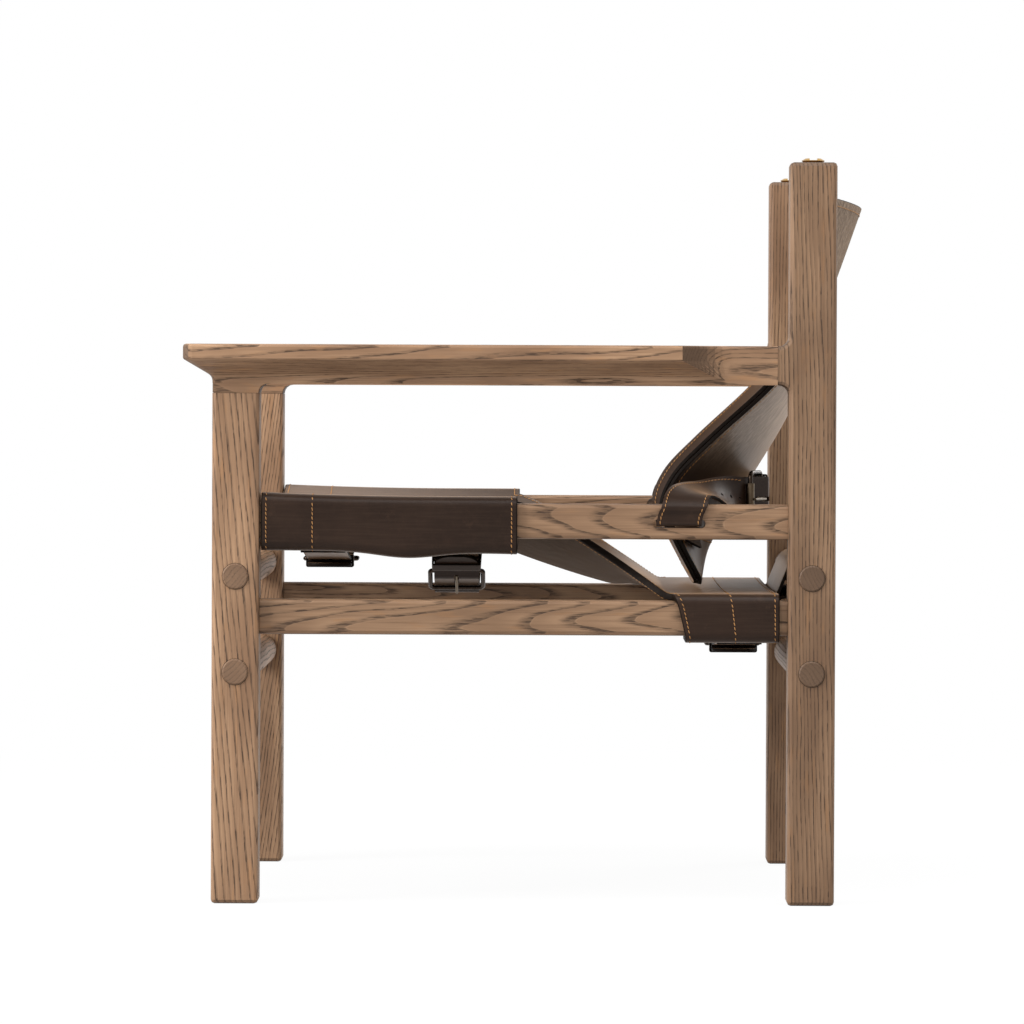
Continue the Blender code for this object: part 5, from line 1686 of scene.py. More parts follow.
@dataclass
class BackSling:
    """The back: a sheet between the posts, hemmed round the rods, with a lining behind its foot."""

    sizes: ChairSizes
    dressing: Dressing
    stitching: Stitching = field(default_factory=Stitching)
    leather: float = 0.0042
    gap: float = 0.0003
    fit_gap: float = 0.0004
    layer_gap: float = 0.0008
    rounding: float = 0.0008
    hem_layer: float = 0.0021
    top_drop: float = 0.030
    top_dip: float = 0.010
    hem_length: float = 0.148
    free_edge_x: float = 0.262
    lower_edge_x: float = 0.216
    lining_drop: float = 0.215
    foot_below_rail: float = 0.064
    centre_rise: float = 0.001
    edge_forward: float = 0.1593
    centre_forward: float = 0.118
    bulge: float = 0.064
    cross_power: float = 2.2
    seam_inset: float = 0.0056
    cross_seam: float = 0.048
    columns: int = 36
    hem_rows: int = 18
    lined_steps: int = 56
    unlined_steps: int = 8
    probe: float = 0.01
    hem_sides: int = 32
    hem_rounding: float = 0.0004
    edge_runs: int = 60
    cross_runs: int = 120
    top_runs: int = 160
    hem_runs: int = 40
    seam_start: float = 0.01
    hem_seam_start: float = 0.008
    hem_seam_end: float = 0.006
    hem_seam: float = 2.6
    top_seam: float = 1.4
    flat_shares: FlatPoint = (1.1, 1.06)
    lining_shares: FlatPoint = (0.86, 0.56)
    centre_shares: tuple = ((0, 1), (0.19, 0.845), (0.53, 0.548), (0.71, 0.312), (0.89, 0.065), (1, 0))
    edge_shares: tuple = (
        (0, 0), (0.36, 0), (0.49, 0.28), (0.64, 0.7), (0.73, 0.92), (0.82, 1), (0.9, 0.9), (1, 0.76)
    )
    narrowing_shares: tuple = ((0, 0), (0.36, 0), (0.49, 0.42), (0.64, 0.87), (0.73, 1), (1, 1))

    @property
    def corner_height(self) -> float:
        """The height of the top corners."""
        return self.sizes.post_top - self.top_drop

    @property
    def edge_height(self) -> float:
        """From the top corners down to the bottom corners."""
        return self.corner_height - self.sizes.upper_rail + self.foot_below_rail

    @property
    def hem_share(self) -> float:
        """The part of the height that is hemmed."""
        return self.hem_length / self.edge_height

    @property
    def lining_start(self) -> float:
        """Where the lining's top edge is."""
        return (self.lining_drop - self.top_drop) / self.edge_height

    @property
    def bore_radius(self) -> float:
        """The inside of a hem, round its rod."""
        return self.sizes.rod_radius + self.fit_gap

    def side_edge(self, down: float) -> tuple[float, float, float]:
        """The left side edge, at a share of the way down.

        Args:
            down: How far down the sheet, from 0 at its top edge to 1 at its bottom.

        Returns:
            The edge's x, y and z.
        """
        if down <= self.hem_share:
            forward = narrowing = 0.0
        else:
            forward = max(smooth_value(self.edge_shares, down), 0)
            narrowing = max(smooth_value(self.narrowing_shares, down), 0)
        x = mix(self.free_edge_x, self.lower_edge_x, narrowing)
        y = self.sizes.post_y - self.edge_forward * forward
        return x, y, self.corner_height - self.edge_height * down

    def centre(self, down: float) -> tuple[float, float]:
        """The middle line's y and z, at a share of the way down.

        Args:
            down: How far down the sheet, from 0 at its top edge to 1 at its bottom.

        Returns:
            The y and the z.
        """
        back = smooth_value(self.centre_shares, down)
        height = self.corner_height - self.top_dip - (self.edge_height - self.centre_rise) * down
        return self.sizes.post_y + mix(-self.centre_forward, self.bulge, back), height

    def point(self, down: float, across: float) -> Vector:
        """A point of the sheet's middle surface; across runs from -1 at the right to 1 at the left.

        Args:
            down: How far down the sheet, from 0 at its top edge to 1 at its bottom.
            across: How far across, from -1 at the right edge to 1 at the left.

        Returns:
            The point.
        """
        edge_x, edge_y, edge_z = self.side_edge(down)
        centre_y, centre_z = self.centre(down)
        y = mix(centre_y, edge_y, abs(across) ** self.cross_power)
        return Vector((edge_x * across, y, mix(centre_z, edge_z, across**2)))

    def behind(self, down: float, across: float, distance: float) -> Vector:
        """The point at a distance behind the sheet's middle surface, square to it.

        Args:
            down: How far down the sheet, from 0 at its top edge to 1 at its bottom.
            across: How far across, from -1 at the right edge to 1 at the left.
            distance: How far behind, or in front where it is below 0.

        Returns:
            The point.
        """
        above, below = max(down - self.probe, 0), min(down + self.probe, 1)
        right, left = max(across - self.probe, -1), min(across + self.probe, 1)
        along = self.point(below, across) - self.point(above, across)
        over = self.point(down, left) - self.point(down, right)
        return self.point(down, across) + along.cross(over).normalized() * -distance

    def resting(self, down: float, across: float, distance: float, steps: int) -> Vector:
        """A point behind the sheet, on flat runs between as many rows as the belt was fitted to.

        Args:
            down: How far down the sheet, from 0 at its top edge to 1 at its bottom.
            across: How far across, from -1 at the right edge to 1 at the left.
            distance: How far behind the middle surface.
            steps: How many flat runs go from the lining's top edge to the bottom.

        Returns:
            The point.
        """
        start = self.lining_start
        place = (down - start) / (1 - start) * steps
        row = min(int(place), steps - 1)
        upper = self.behind(mix(start, 1, row / steps), across, distance)
        lower = self.behind(mix(start, 1, (row + 1) / steps), across, distance)
        return upper.lerp(lower, place - row)

    def rows(self) -> list[Row]:
        """The sheet's rows from its top edge down, with a tab to the hem at each end.

        Returns:
            The rows, each from the right edge to the left.
        """
        shares = [self.hem_share * row / self.hem_rows for row in range(self.hem_rows + 1)]
        rest = self.lined_steps
        shares += [mix(self.hem_share, 1, (row + 1) / rest) for row in range(rest)]
        span = range(-self.columns, self.columns + 1)
        tab_x = self.sizes.leg_x - self.bore_radius - self.hem_layer / 2
        rows = []
        for down in shares:
            row = [self.point(down, column / self.columns) for column in span]
            tab = Vector((tab_x, row[-1].y, row[-1].z))
            rows.append([Vector((-tab.x, tab.y, tab.z)), *row, tab])
        return rows

    def build(self) -> list[bpy.types.Object]:
        """Builds the sheet, its hems, its stitching and its lining.

        Returns:
            The pieces.
        """
        rows = self.rows()
        last = len(rows[0]) - 2

        def keep(row: int, column: int) -> bool:
            """Leaves the tabs out below the hems."""
            return row < self.hem_rows or 0 < column < last

        make, outward = (self.leather, self.rounding), Vector((0, -1, 0.1))
        sling = leather_piece("back_sling", rows, outward, self.dressing.leather, make, keep)
        hems = [self.build_hem(side, sign) for side, sign in SIDES.items()]
        lining = self.build_lining()
        flat = 2 * self.free_edge_x * self.flat_shares[0], self.edge_height * self.flat_shares[1]
        lined = flat[0] * self.lining_shares[0], flat[1] * self.lining_shares[1]
        return [sling, *hems, lining, *self.sew()]

    def build_hem(self, side: str, sign: int) -> bpy.types.Object:
        """The tube of leather round one brass rod.

        Args:
            side: "left" or "right".
            sign: 1 on the left and -1 on the right.

        Returns:
            The piece.
        """
        name = f"back_hem_{side}"
        top = self.corner_height - self.gap
        foot = self.corner_height - self.hem_length + self.gap
        outer = self.bore_radius + self.hem_layer
        corners = ((self.bore_radius, foot), (self.bore_radius, top), (outer, top), (outer, foot))
        bm = bmesh.new()
        line = [bm.verts.new((reach, 0, height)) for reach, height in corners]
        edges = [bm.edges.new((line[place - 1], line[place])) for place in range(len(line))]
        whole = {"cent": (0, 0, 0), "axis": (0, 0, 1), "angle": 2 * math.pi, "use_merge": True}
        bmesh.ops.spin(bm, geom=line + edges, steps=self.hem_sides, **whole)
        bmesh.ops.remove_doubles(bm, verts=bm.verts, dist=TOUCHING)
        bmesh.ops.recalc_face_normals(bm, faces=bm.faces)
        sharp = [edge for edge in bm.edges if edge.calc_face_angle(0) > ARRIS_ANGLE]
        rounded(bm, sharp, self.hem_rounding, 2)
        bmesh.ops.translate(bm, vec=(sign * self.sizes.leg_x, self.sizes.post_y, 0), verts=bm.verts)
        mesh = finished_mesh(bm, name)
        mesh.shade_smooth()
        mesh.set_sharp_from_angle(angle=SMOOTH_ANGLE)
        return recorded(placed(name, mesh, [self.dressing.grain_side]), "back_sling")

    def build_lining(self) -> bpy.types.Object:
        """The second layer behind the lower part, flush with the sheet's edges.

        Returns:
            The lining.
        """
        span = [column / self.columns for column in range(-self.columns, self.columns + 1)]
        downs = spread(self.lining_start, 1, self.lined_steps - self.unlined_steps)
        apart = self.leather + self.layer_gap
        rows = [[self.behind(down, across, apart) for across in span] for down in downs]
        make = self.leather, self.rounding
        return leather_piece("back_lining", rows, Vector((0, 1, -0.1)), self.dressing.lining, make)

    def edge_line(self, start: float, end: float, sign: int, distance: float) -> StitchLine:
        """A line of stitches beside a side edge.

        Args:
            start: Where it starts, as a share of the way down.
            end: Where it ends.
            sign: 1 on the left and -1 on the right.
            distance: How far behind the sheet's middle surface it runs; negative is in front.

        Returns:
            The line.
        """
        downs = spread(start, end, self.edge_runs)
        places = [(down, sign * (1 - self.seam_inset / self.side_edge(down)[0])) for down in downs]
        return self.seam(places, distance)

    def seam(self, places: Sequence[FlatPoint], distance: float) -> StitchLine:
        """A line of stitches through places, at a distance behind the sheet's middle surface.

        Args:
            places: How far down and how far across each point of the line is.
            distance: How far behind, or in front where it is below 0.

        Returns:
            The line, which looks away from the sheet.
        """
        points = [self.behind(down, across, distance) for down, across in places]
        middles = [self.point(down, across) for down, across in places]
        sense = 1 if distance > 0 else -1
        facings = [
            (self.behind(down, across, self.probe) - middle).normalized() * sense
            for (down, across), middle in zip(places, middles)
        ]
        return StitchLine(points, facings)

    def sew(self) -> list[bpy.types.Object]:
        """Sews the edges, the bottom, the cross seam and the hems, in front and behind.

        Returns:
            The stitching of the two sides.
        """
        front, rear = -self.leather / 2, self.leather * 1.5 + self.layer_gap
        reach = 1 - self.seam_inset / self.lower_edge_x
        span = [across * reach for across in spread(-1, 1, self.cross_runs)]
        foot = 1 - self.seam_inset / self.edge_height
        cross = 1 - self.cross_seam / self.edge_height
        lining_top = self.lining_start + self.seam_inset / self.edge_height
        fronts, rears = [], []
        starts = self.hem_share + self.seam_start, lining_top
        for group, distance, start in zip((fronts, rears), (front, rear), starts):
            group += [self.edge_line(start, foot, sign, distance) for sign in SIDES.values()]
            for down in (foot, cross, lining_top):
                group.append(self.seam([(down, across) for across in span], distance))
        hem_inset = 1 - self.hem_seam * self.seam_inset / self.free_edge_x
        near_top = self.top_seam * self.seam_inset / self.edge_height
        top = [(near_top, across) for across in spread(-hem_inset, hem_inset, self.top_runs)]
        downs = spread(self.hem_seam_start, self.hem_share - self.hem_seam_end, self.hem_runs)
        for group, distance in ((fronts, front), (rears, self.leather / 2)):
            group.append(self.seam(top, distance))
            for sign in SIDES.values():
                group.append(self.seam([(down, sign * hem_inset) for down in downs], distance))
        thread = self.dressing.thread
        return [
            self.stitching.sew("back_stitching_front", fronts, 0.0, thread),
            self.stitching.sew("back_stitching_rear", rears, 0.0, thread),
        ]


@dataclass(frozen=True)
class StrapSizes:
    """The sizes that all the straps and buckles share."""

    leather: float = 0.003
    width: float = 0.048
    gap: float = 0.0003
    fit_gap: float = 0.0004
    rounding: float = 0.0006
    hole: float = 0.0042
    hole_spacing: float = 0.018
    hole_count: int = 3
    tip_length: float = 0.017
    wire: float = 0.005
    buckle_width: float = 0.057
    buckle_length: float = 0.034
    front_corner: float = 0.006
    heel_corner: float = 0.0032
    roller_wall: float = 0.0017
    prong_root: float = 0.002
    prong_eye: float = 0.0052
    prong_eye_width: float = 0.006
    slit_start: float = -0.0045
    slit_end: float = 0.021
    keeper_width: float = 0.012
    keeper_leather: float = 0.002
    keeper_rounding: float = 0.0005
    keeper_bend: float = 0.6
    keeper_steps: int = 5
    front_steps: int = 9
    heel_steps: int = 7
    bar_steps: int = 6
    fold_steps: int = 7
    fold_turn: float = math.radians(140)
    tail_turn: float = math.radians(115)
    tail_rise: float = 1.6
    tail_shares: tuple[float, ...] = (0, 0.15, 0.6, 1)
    knee: float = 0.020
    sewn_to: float = 0.262
    columns: int = 8

    @property
    def bar(self) -> float:
        """The radius of a frame's bars."""
        return self.wire / 2

    @property
    def layer_offset(self) -> float:
        """How far each layer of a fold lies from the fold's middle."""
        return (self.leather + self.gap) / 2

    @property
    def tail_offset(self) -> float:
        """How far out the tail lies on the folded strap."""
        return self.layer_offset + self.leather + self.gap


def ribbon_rows(stations: Iterable[Station], width: float) -> list[Row]:
    """Rows of three points across a strap, at stations that each have a place and a way across.

    Args:
        stations: Where the strap goes.
        width: How wide the strap is.

    Returns:
        The rows.
    """
    rows = []
    for place, across in stations:
        half = across.normalized() * width / 2
        rows.append([place - half, place.copy(), place + half])
    return rows


def smooth_stations(stations: Sequence[Station]) -> list[Station]:
    """Twice as many stations, which go smoothly through the given ones."""
    places = smooth_through([place for place, _ in stations], 2)
    return list(zip(places, even_steps([across.normalized() for _, across in stations], 2)))


@dataclass
class Strap:
    """A flat strap: a run of rows of three points, which is rounded and given its leather."""

    name: str
    rows: list[Row]
    cut: StrapSizes
    pointed: bool = False
    tip_share: float = 0.30
    stitching: Stitching = field(default_factory=Stitching)
    seam_inset: float = 0.0038
    seam_runs: int = 160

    def across(self, row: Row, share: float) -> Vector:
        """A point of a row, from -1 at one edge over 0 in the middle to 1 at the other."""
        low, middle, high = row
        return middle + (high - low) / 2 * share + ((low + high) / 2 - middle) * share**2

    def fine_rows(self) -> list[Row]:
        """The strap's rows, rounded, and narrowed to a half-round tip where it is pointed.

        Returns:
            The finer rows.
        """
        rows = relaxed(self.rows)
        done, fine = 0.0, []
        for number, row in enumerate(rows):
            if number:
                done += (row[1] - rows[number - 1][1]).length
            narrow = 1.0
            if self.pointed and done < self.cut.tip_length:
                narrow = mix(self.tip_share, 1, math.sqrt(1 - (1 - done / self.cut.tip_length) ** 2))
            fine.append([self.across(row, side * narrow) for side in spread(-1, 1, self.cut.columns)])
        return fine

    def build(
        self,
        outward: Vector,
        finishes: Sequence[bpy.types.Material],
        cutters: Sequence[bpy.types.Mesh] = (),
    ) -> bpy.types.Object:
        """Builds the strap.

        Args:
            outward: The rough direction of its grain side.
            finishes: The grain side, the cut edge and the flesh side.
            cutters: A closed mesh for each hole.

        Returns:
            The piece, which rides on the chair.
        """
        make = self.cut.leather, self.cut.rounding
        return leather_piece(self.name, self.fine_rows(), outward, finishes, make, cutters=cutters)

    def sew(self, first: int, last: int, away: Vector, thread: bpy.types.Material) -> bpy.types.Object:
        """Sews along both edges.

        Args:
            first: The row, before rounding, that the seams start from.
            last: The row that they end at.
            away: A point well inside the chair, from which the grain side looks away.
            thread: The finish.

        Returns:
            The stitching.
        """
        rows = self.fine_rows()
        sheet = SurfaceMap(rows)
        scale = (len(rows) - 1) / (len(self.rows) - 1)
        middle, columns = (first + last) / 2 * scale, self.cut.columns
        sheet.turn_to(middle, columns / 2, sheet.at(middle, columns / 2) - away)
        inset = self.seam_inset / self.cut.width * columns
        lines = [
            line_on(sheet, (first * scale, column), (last * scale, column), self.seam_runs)
            for column in (inset, columns - inset)
        ]
        return self.stitching.sew(f"{self.name}_stitching", lines, self.cut.leather / 2, thread)

    def hole_cutters(self, first: float) -> list[bpy.types.Mesh]:
        """Cutters for the strap's round holes, of which the first is so far from its first point.

        Args:
            first: How far along the strap the first hole is.

        Returns:
            A closed mesh for each hole.
        """
        rows = relaxed(self.rows)
        cutters = []
        for number in range(self.cut.hole_count):
            left = first + self.cut.hole_spacing * number
            for here, there in zip(rows, rows[1:]):
                run = (there[1] - here[1]).length
                if left <= run:
                    along = (there[1] - here[1]).normalized()
                    middle = here[1] + along * left
                    through = along.cross(here[2] - here[0]).normalized() * 3 * self.cut.leather
                    cutters.append(punched(middle - through, middle + through, self.cut.hole / 2))
                    break
                left -= run
        return cutters


@dataclass
class Buckle:
    """A heel-bar buckle with its frame, its keeper and the paths of its two straps.

    place puts the middle of the heel bar at the origin of the buckle's own frame, whose +X points to
    the front bar and whose +Z points away from the sitter.
    """

    name: str
    place: Matrix
    cut: StrapSizes
    dressing: Dressing
    has_roller: bool = False
    tail_end: float = -0.075
    fold_end: float = -0.045
    keeper_place: float = -0.028
    strap_turn: float = 0.0
    leaving: float = math.radians(-5)

    @property
    def strap_place(self) -> Matrix:
        """The folded strap's frame, which may turn about the heel bar."""
        return self.place @ Matrix.Rotation(-self.strap_turn, 4, "Y")

    @property
    def front_radius(self) -> float:
        """The radius of what the strap goes round at the front bar."""
        bar = self.cut.bar
        return bar + self.cut.gap + self.cut.roller_wall if self.has_roller else bar

    def on_strap(self, points: Iterable[FlatPoint]) -> list[Vector]:
        """Points given along and out from the folded strap."""
        return [self.strap_place @ Vector((along, 0, out)) for along, out in points]

    def build_frame(self) -> bpy.types.Object:
        """The frame: one bent wire.

        Returns:
            The frame.
        """
        cut = self.cut
        half = cut.buckle_width / 2
        front, heel = cut.front_corner, cut.heel_corner
        quarter = math.pi / 2
        outline = arc((cut.buckle_length - front, half - front), front, 0, quarter, cut.front_steps)
        outline += arc((heel, half - heel), heel, quarter, 2 * quarter, cut.heel_steps)
        outline += [(x, -y) for x, y in reversed(outline)]
        name = f"{self.name}_frame_wire"
        curve = bpy.data.curves.new(name, "CURVE")
        curve.dimensions = "3D"
        curve.bevel_depth = cut.bar
        curve.bevel_resolution = cut.bar_steps
        line = curve.splines.new("POLY")
        line.points.add(len(outline) - 1)
        for point, (x, y) in zip(line.points, outline):
            point.co = (x, y, 0, 1)
        line.use_cyclic_u = True
        wire = placed(name, curve)
        bpy.context.view_layer.update()
        evaluated = wire.evaluated_get(bpy.context.evaluated_depsgraph_get())
        mesh = bpy.data.meshes.new_from_object(evaluated)
        bpy.data.objects.remove(wire)
        bpy.data.curves.remove(curve)
        mesh.transform(self.place)
        mesh.materials.clear()
        mesh.shade_smooth()
        buckle = placed(name, mesh, [self.dressing.gunmetal])
        return recorded(buckle, f"{self.name}_buckle_frame")

    def build_keeper(self) -> bpy.types.Object:
        """The leather band round both layers of the folded strap and the strap's tail.

        Returns:
            The keeper.
        """
        cut = self.cut
        low = -cut.layer_offset - cut.leather / 2 - cut.gap
        high = cut.tail_offset + cut.leather / 2 + cut.gap
        inner = cut.width / 2 + cut.fit_gap
        reach = cut.keeper_leather / 2
        radius = cut.keeper_leather * cut.keeper_bend
        side, top, foot = inner + reach - radius, high + reach - radius, low - reach + radius
        quarter = math.pi / 2
        line = []
        for number, centre in enumerate(((side, top), (-side, top), (-side, foot), (side, foot))):
            line += arc(centre, radius, number * quarter, (number + 1) * quarter, cut.keeper_steps)
        line.append(line[0])
        half = cut.keeper_width / 2
        alongs = [self.keeper_place + half * share for share in spread(-1, 1, 4)]
        rows = [[self.strap_place @ Vector((along, y, z)) for along in alongs] for y, z in line]
        name = f"{self.name}_keeper"
        mesh = surface_mesh(f"{name}_leather", rows, Vector())
        bm = bmesh.new()
        bm.from_mesh(mesh)
        bmesh.ops.remove_doubles(bm, verts=bm.verts, dist=2 * TOUCHING)
        middle = sum((vertex.co for vertex in bm.verts), Vector()) / len(bm.verts)
        face = max(bm.faces, key=lambda item: item.calc_area())
        if face.normal.dot(face.calc_center_median() - middle) < 0:
            bmesh.ops.reverse_faces(bm, faces=bm.faces)
        bm.to_mesh(mesh)
        bm.free()
        keeper = placed(f"{name}_leather", mesh, self.dressing.leather)
        thicken(keeper, cut.keeper_leather, cut.keeper_rounding)
        return recorded(keeper, name)

    def dress_metal(self) -> None:
        """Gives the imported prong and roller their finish."""
        for part in ("prong", "roller") if self.has_roller else ("prong",):
            repaint(f"{self.name}_buckle_{part}", self.dressing.nickel)

    def pierced(self, strap: Strap) -> list[bpy.types.Mesh]:
        """Cutters for the prong's slit and the free holes in the strap that is threaded through."""
        first = self.cut.buckle_length - self.tail_end + self.cut.hole_spacing
        return [self.prong_slit(), *strap.hole_cutters(first)]

    def fold(self) -> list[Vector]:
        """The folded end that holds the frame: along the inside, round the bar and back.

        Returns:
            The fold's points, in the scene's own frame.
        """
        cut = self.cut
        radius = cut.bar + cut.gap + cut.leather / 2
        turn, flat = cut.fold_turn, -2 * radius
        path = [(self.fold_end, -cut.layer_offset), (flat, -cut.layer_offset)]
        path += corner((0, 0), radius, -turn, turn, cut.fold_steps)
        path += [(flat, cut.layer_offset), (self.fold_end, cut.layer_offset)]
        return self.on_strap(path)

    def threaded(self) -> list[Vector]:
        """The tail from its free end, over the heel bar and under the front bar.

        Returns:
            The tail's points, in the scene's own frame.
        """
        cut = self.cut
        over = cut.bar + cut.gap + cut.leather + 2 * cut.fit_gap + cut.leather / 2
        under = self.front_radius + cut.fit_gap + cut.leather / 2
        slant = math.asin((over + under) / cut.buckle_length)
        upright = math.pi / 2
        flat = -cut.tail_rise * over
        path = [(mix(self.tail_end, flat, share), cut.tail_offset) for share in cut.tail_shares]
        bent = corner((0, 0), over, cut.tail_turn + self.strap_turn, upright - slant, 2)
        front = -upright - slant, -upright + self.leaving
        bent += corner((cut.buckle_length, 0), under, *front, 1)
        return self.on_strap(path) + [self.place @ Vector((along, 0, out)) for along, out in bent]

    def eye_slot(self) -> bpy.types.Mesh:
        """The opening in the fold for the prong's eye.

        Returns:
            The cutter.
        """
        cut = self.cut
        reach = cut.prong_eye + cut.fit_gap
        width = cut.prong_eye_width + 2 * cut.fit_gap
        size = (2 * reach + cut.wire, width, 4 * cut.leather + cut.wire)
        return slitted(self.place, size, Vector((cut.wire / 2, 0, 0)))

    def prong_slit(self) -> bpy.types.Mesh:
        """The slit in the tail that the prong goes up through.

        Returns:
            The cutter.
        """
        cut = self.cut
        size = (cut.slit_end - cut.slit_start, 2 * cut.prong_root + 2 * cut.fit_gap, 8 * cut.leather)
        return slitted(self.place, size, Vector((mix(cut.slit_start, cut.slit_end, 0.5), 0, 0)))


@dataclass
class UnderStrap:
    """Two straps and a buckle that pull the seat's flaps together, at one place along the seat."""

    name: str
    y: float
    heel_x: float
    heel_drop: float
    tilt: float
    flap_under: float
    cut: StrapSizes
    dressing: Dressing
    flap_end: float = 0.212
    sewn_from: float = 0.212
    buckle_sizes: Mapping[str, float] = field(default_factory=dict)

    def strap(self, part: str, path: Sequence[Vector], pointed: bool = False) -> Strap:
        """A strap under the seat whose middle runs along path."""
        rows = ribbon_rows([(place, Vector((0, 1, 0))) for place in path], self.cut.width)
        return Strap(f"{self.name}_{part}", rows, self.cut, pointed)

    def build(self) -> list[bpy.types.Object]:
        """Builds the buckle and both straps.

        Returns:
            The pieces.
        """
        cut = self.cut
        sewn = self.flap_under - cut.gap - cut.leather / 2
        turn = Matrix.Rotation(math.pi - self.tilt, 4, "Y")
        place = Matrix.Translation((self.heel_x, self.y, sewn - self.heel_drop)) @ turn
        buckle = Buckle(self.name, place, cut, self.dressing, **self.buckle_sizes)
        buckle.dress_metal()
        fold = buckle.fold()
        start, seam = Vector((self.sewn_from, self.y, sewn)), Vector((cut.sewn_to, self.y, sewn))
        lead = smooth_through([start, fold[0], fold[1]], LEAD_STEPS)[: -LEAD_STEPS - 1]
        folded = self.strap("buckle_strap", [seam, *lead, *fold])

        threaded = buckle.threaded()
        heading = (threaded[-1] - threaded[-2]).normalized()
        straight = threaded[-1] + heading * cut.knee / 3
        knee = threaded[-1] + heading * cut.knee
        lead = smooth_through([straight, knee, Vector((-self.flap_end, self.y, sewn))], LEAD_STEPS + 1)
        path = [*threaded, *lead, Vector((-cut.sewn_to, self.y, sewn))]
        tail = self.strap("tail_strap", path, pointed=True)
        down, leather = Vector((0, 0, -1)), self.dressing.leather
        return [
            buckle.build_frame(),
            buckle.build_keeper(),
            folded.build(down, leather, [buckle.eye_slot()]),
            tail.build(down, leather, buckle.pierced(tail)),
        ]


@dataclass
class UnderStraps:
    """The three straps under the seat; the middle one's buckle tilts beside the left flap."""

    seat: SeatSling
    dressing: Dressing
    cut: StrapSizes = field(default_factory=StrapSizes)
    front_place: float = 0.064
    middle_place: float = 0.206
    rear_place: float = 0.041
    heel_x: float = 0.018
    front_sag: float = 0.014
    rear_sag: float = 0.010
    middle_heel_x: float = 0.192
    middle_sag: float = 0.022
    middle_tilt: float = math.radians(35)
    middle_sewn_from: float = 0.230
    middle_tail_end: float = -0.036
    middle_fold_end: float = -0.028
    middle_keeper_place: float = -0.018
    middle_leaving: float = math.radians(-13)

    def build(self) -> list[bpy.types.Object]:
        """Builds the straps from front to rear.

        Returns:
            The pieces of all three.
        """
        seat, cut, dressing = self.seat, self.cut, self.dressing
        front_flap = seat.front_profile(1)[-1][1] - seat.leather / 2
        rear_flap = seat.rear_profile()[-1][1] - seat.leather / 2
        y, sag = seat.front + self.front_place, self.front_sag
        front = UnderStrap("seat_front", y, self.heel_x, sag, 0.0, front_flap, cut, dressing)
        middle = UnderStrap(
            "seat_middle",
            seat.front + self.middle_place,
            self.middle_heel_x,
            self.middle_sag,
            self.middle_tilt,
            front_flap,
            cut,
            dressing,
            sewn_from=self.middle_sewn_from,
            buckle_sizes={
                "tail_end": self.middle_tail_end,
                "fold_end": self.middle_fold_end,
                "keeper_place": self.middle_keeper_place,
                "leaving": self.middle_leaving,
            },
        )
        y, sag = seat.rear - self.rear_place, self.rear_sag
        rear = UnderStrap("seat_rear", y, self.heel_x, sag, 0.0, rear_flap, cut, dressing)
        return [piece for strap in (front, middle, rear) for piece in strap.build()]


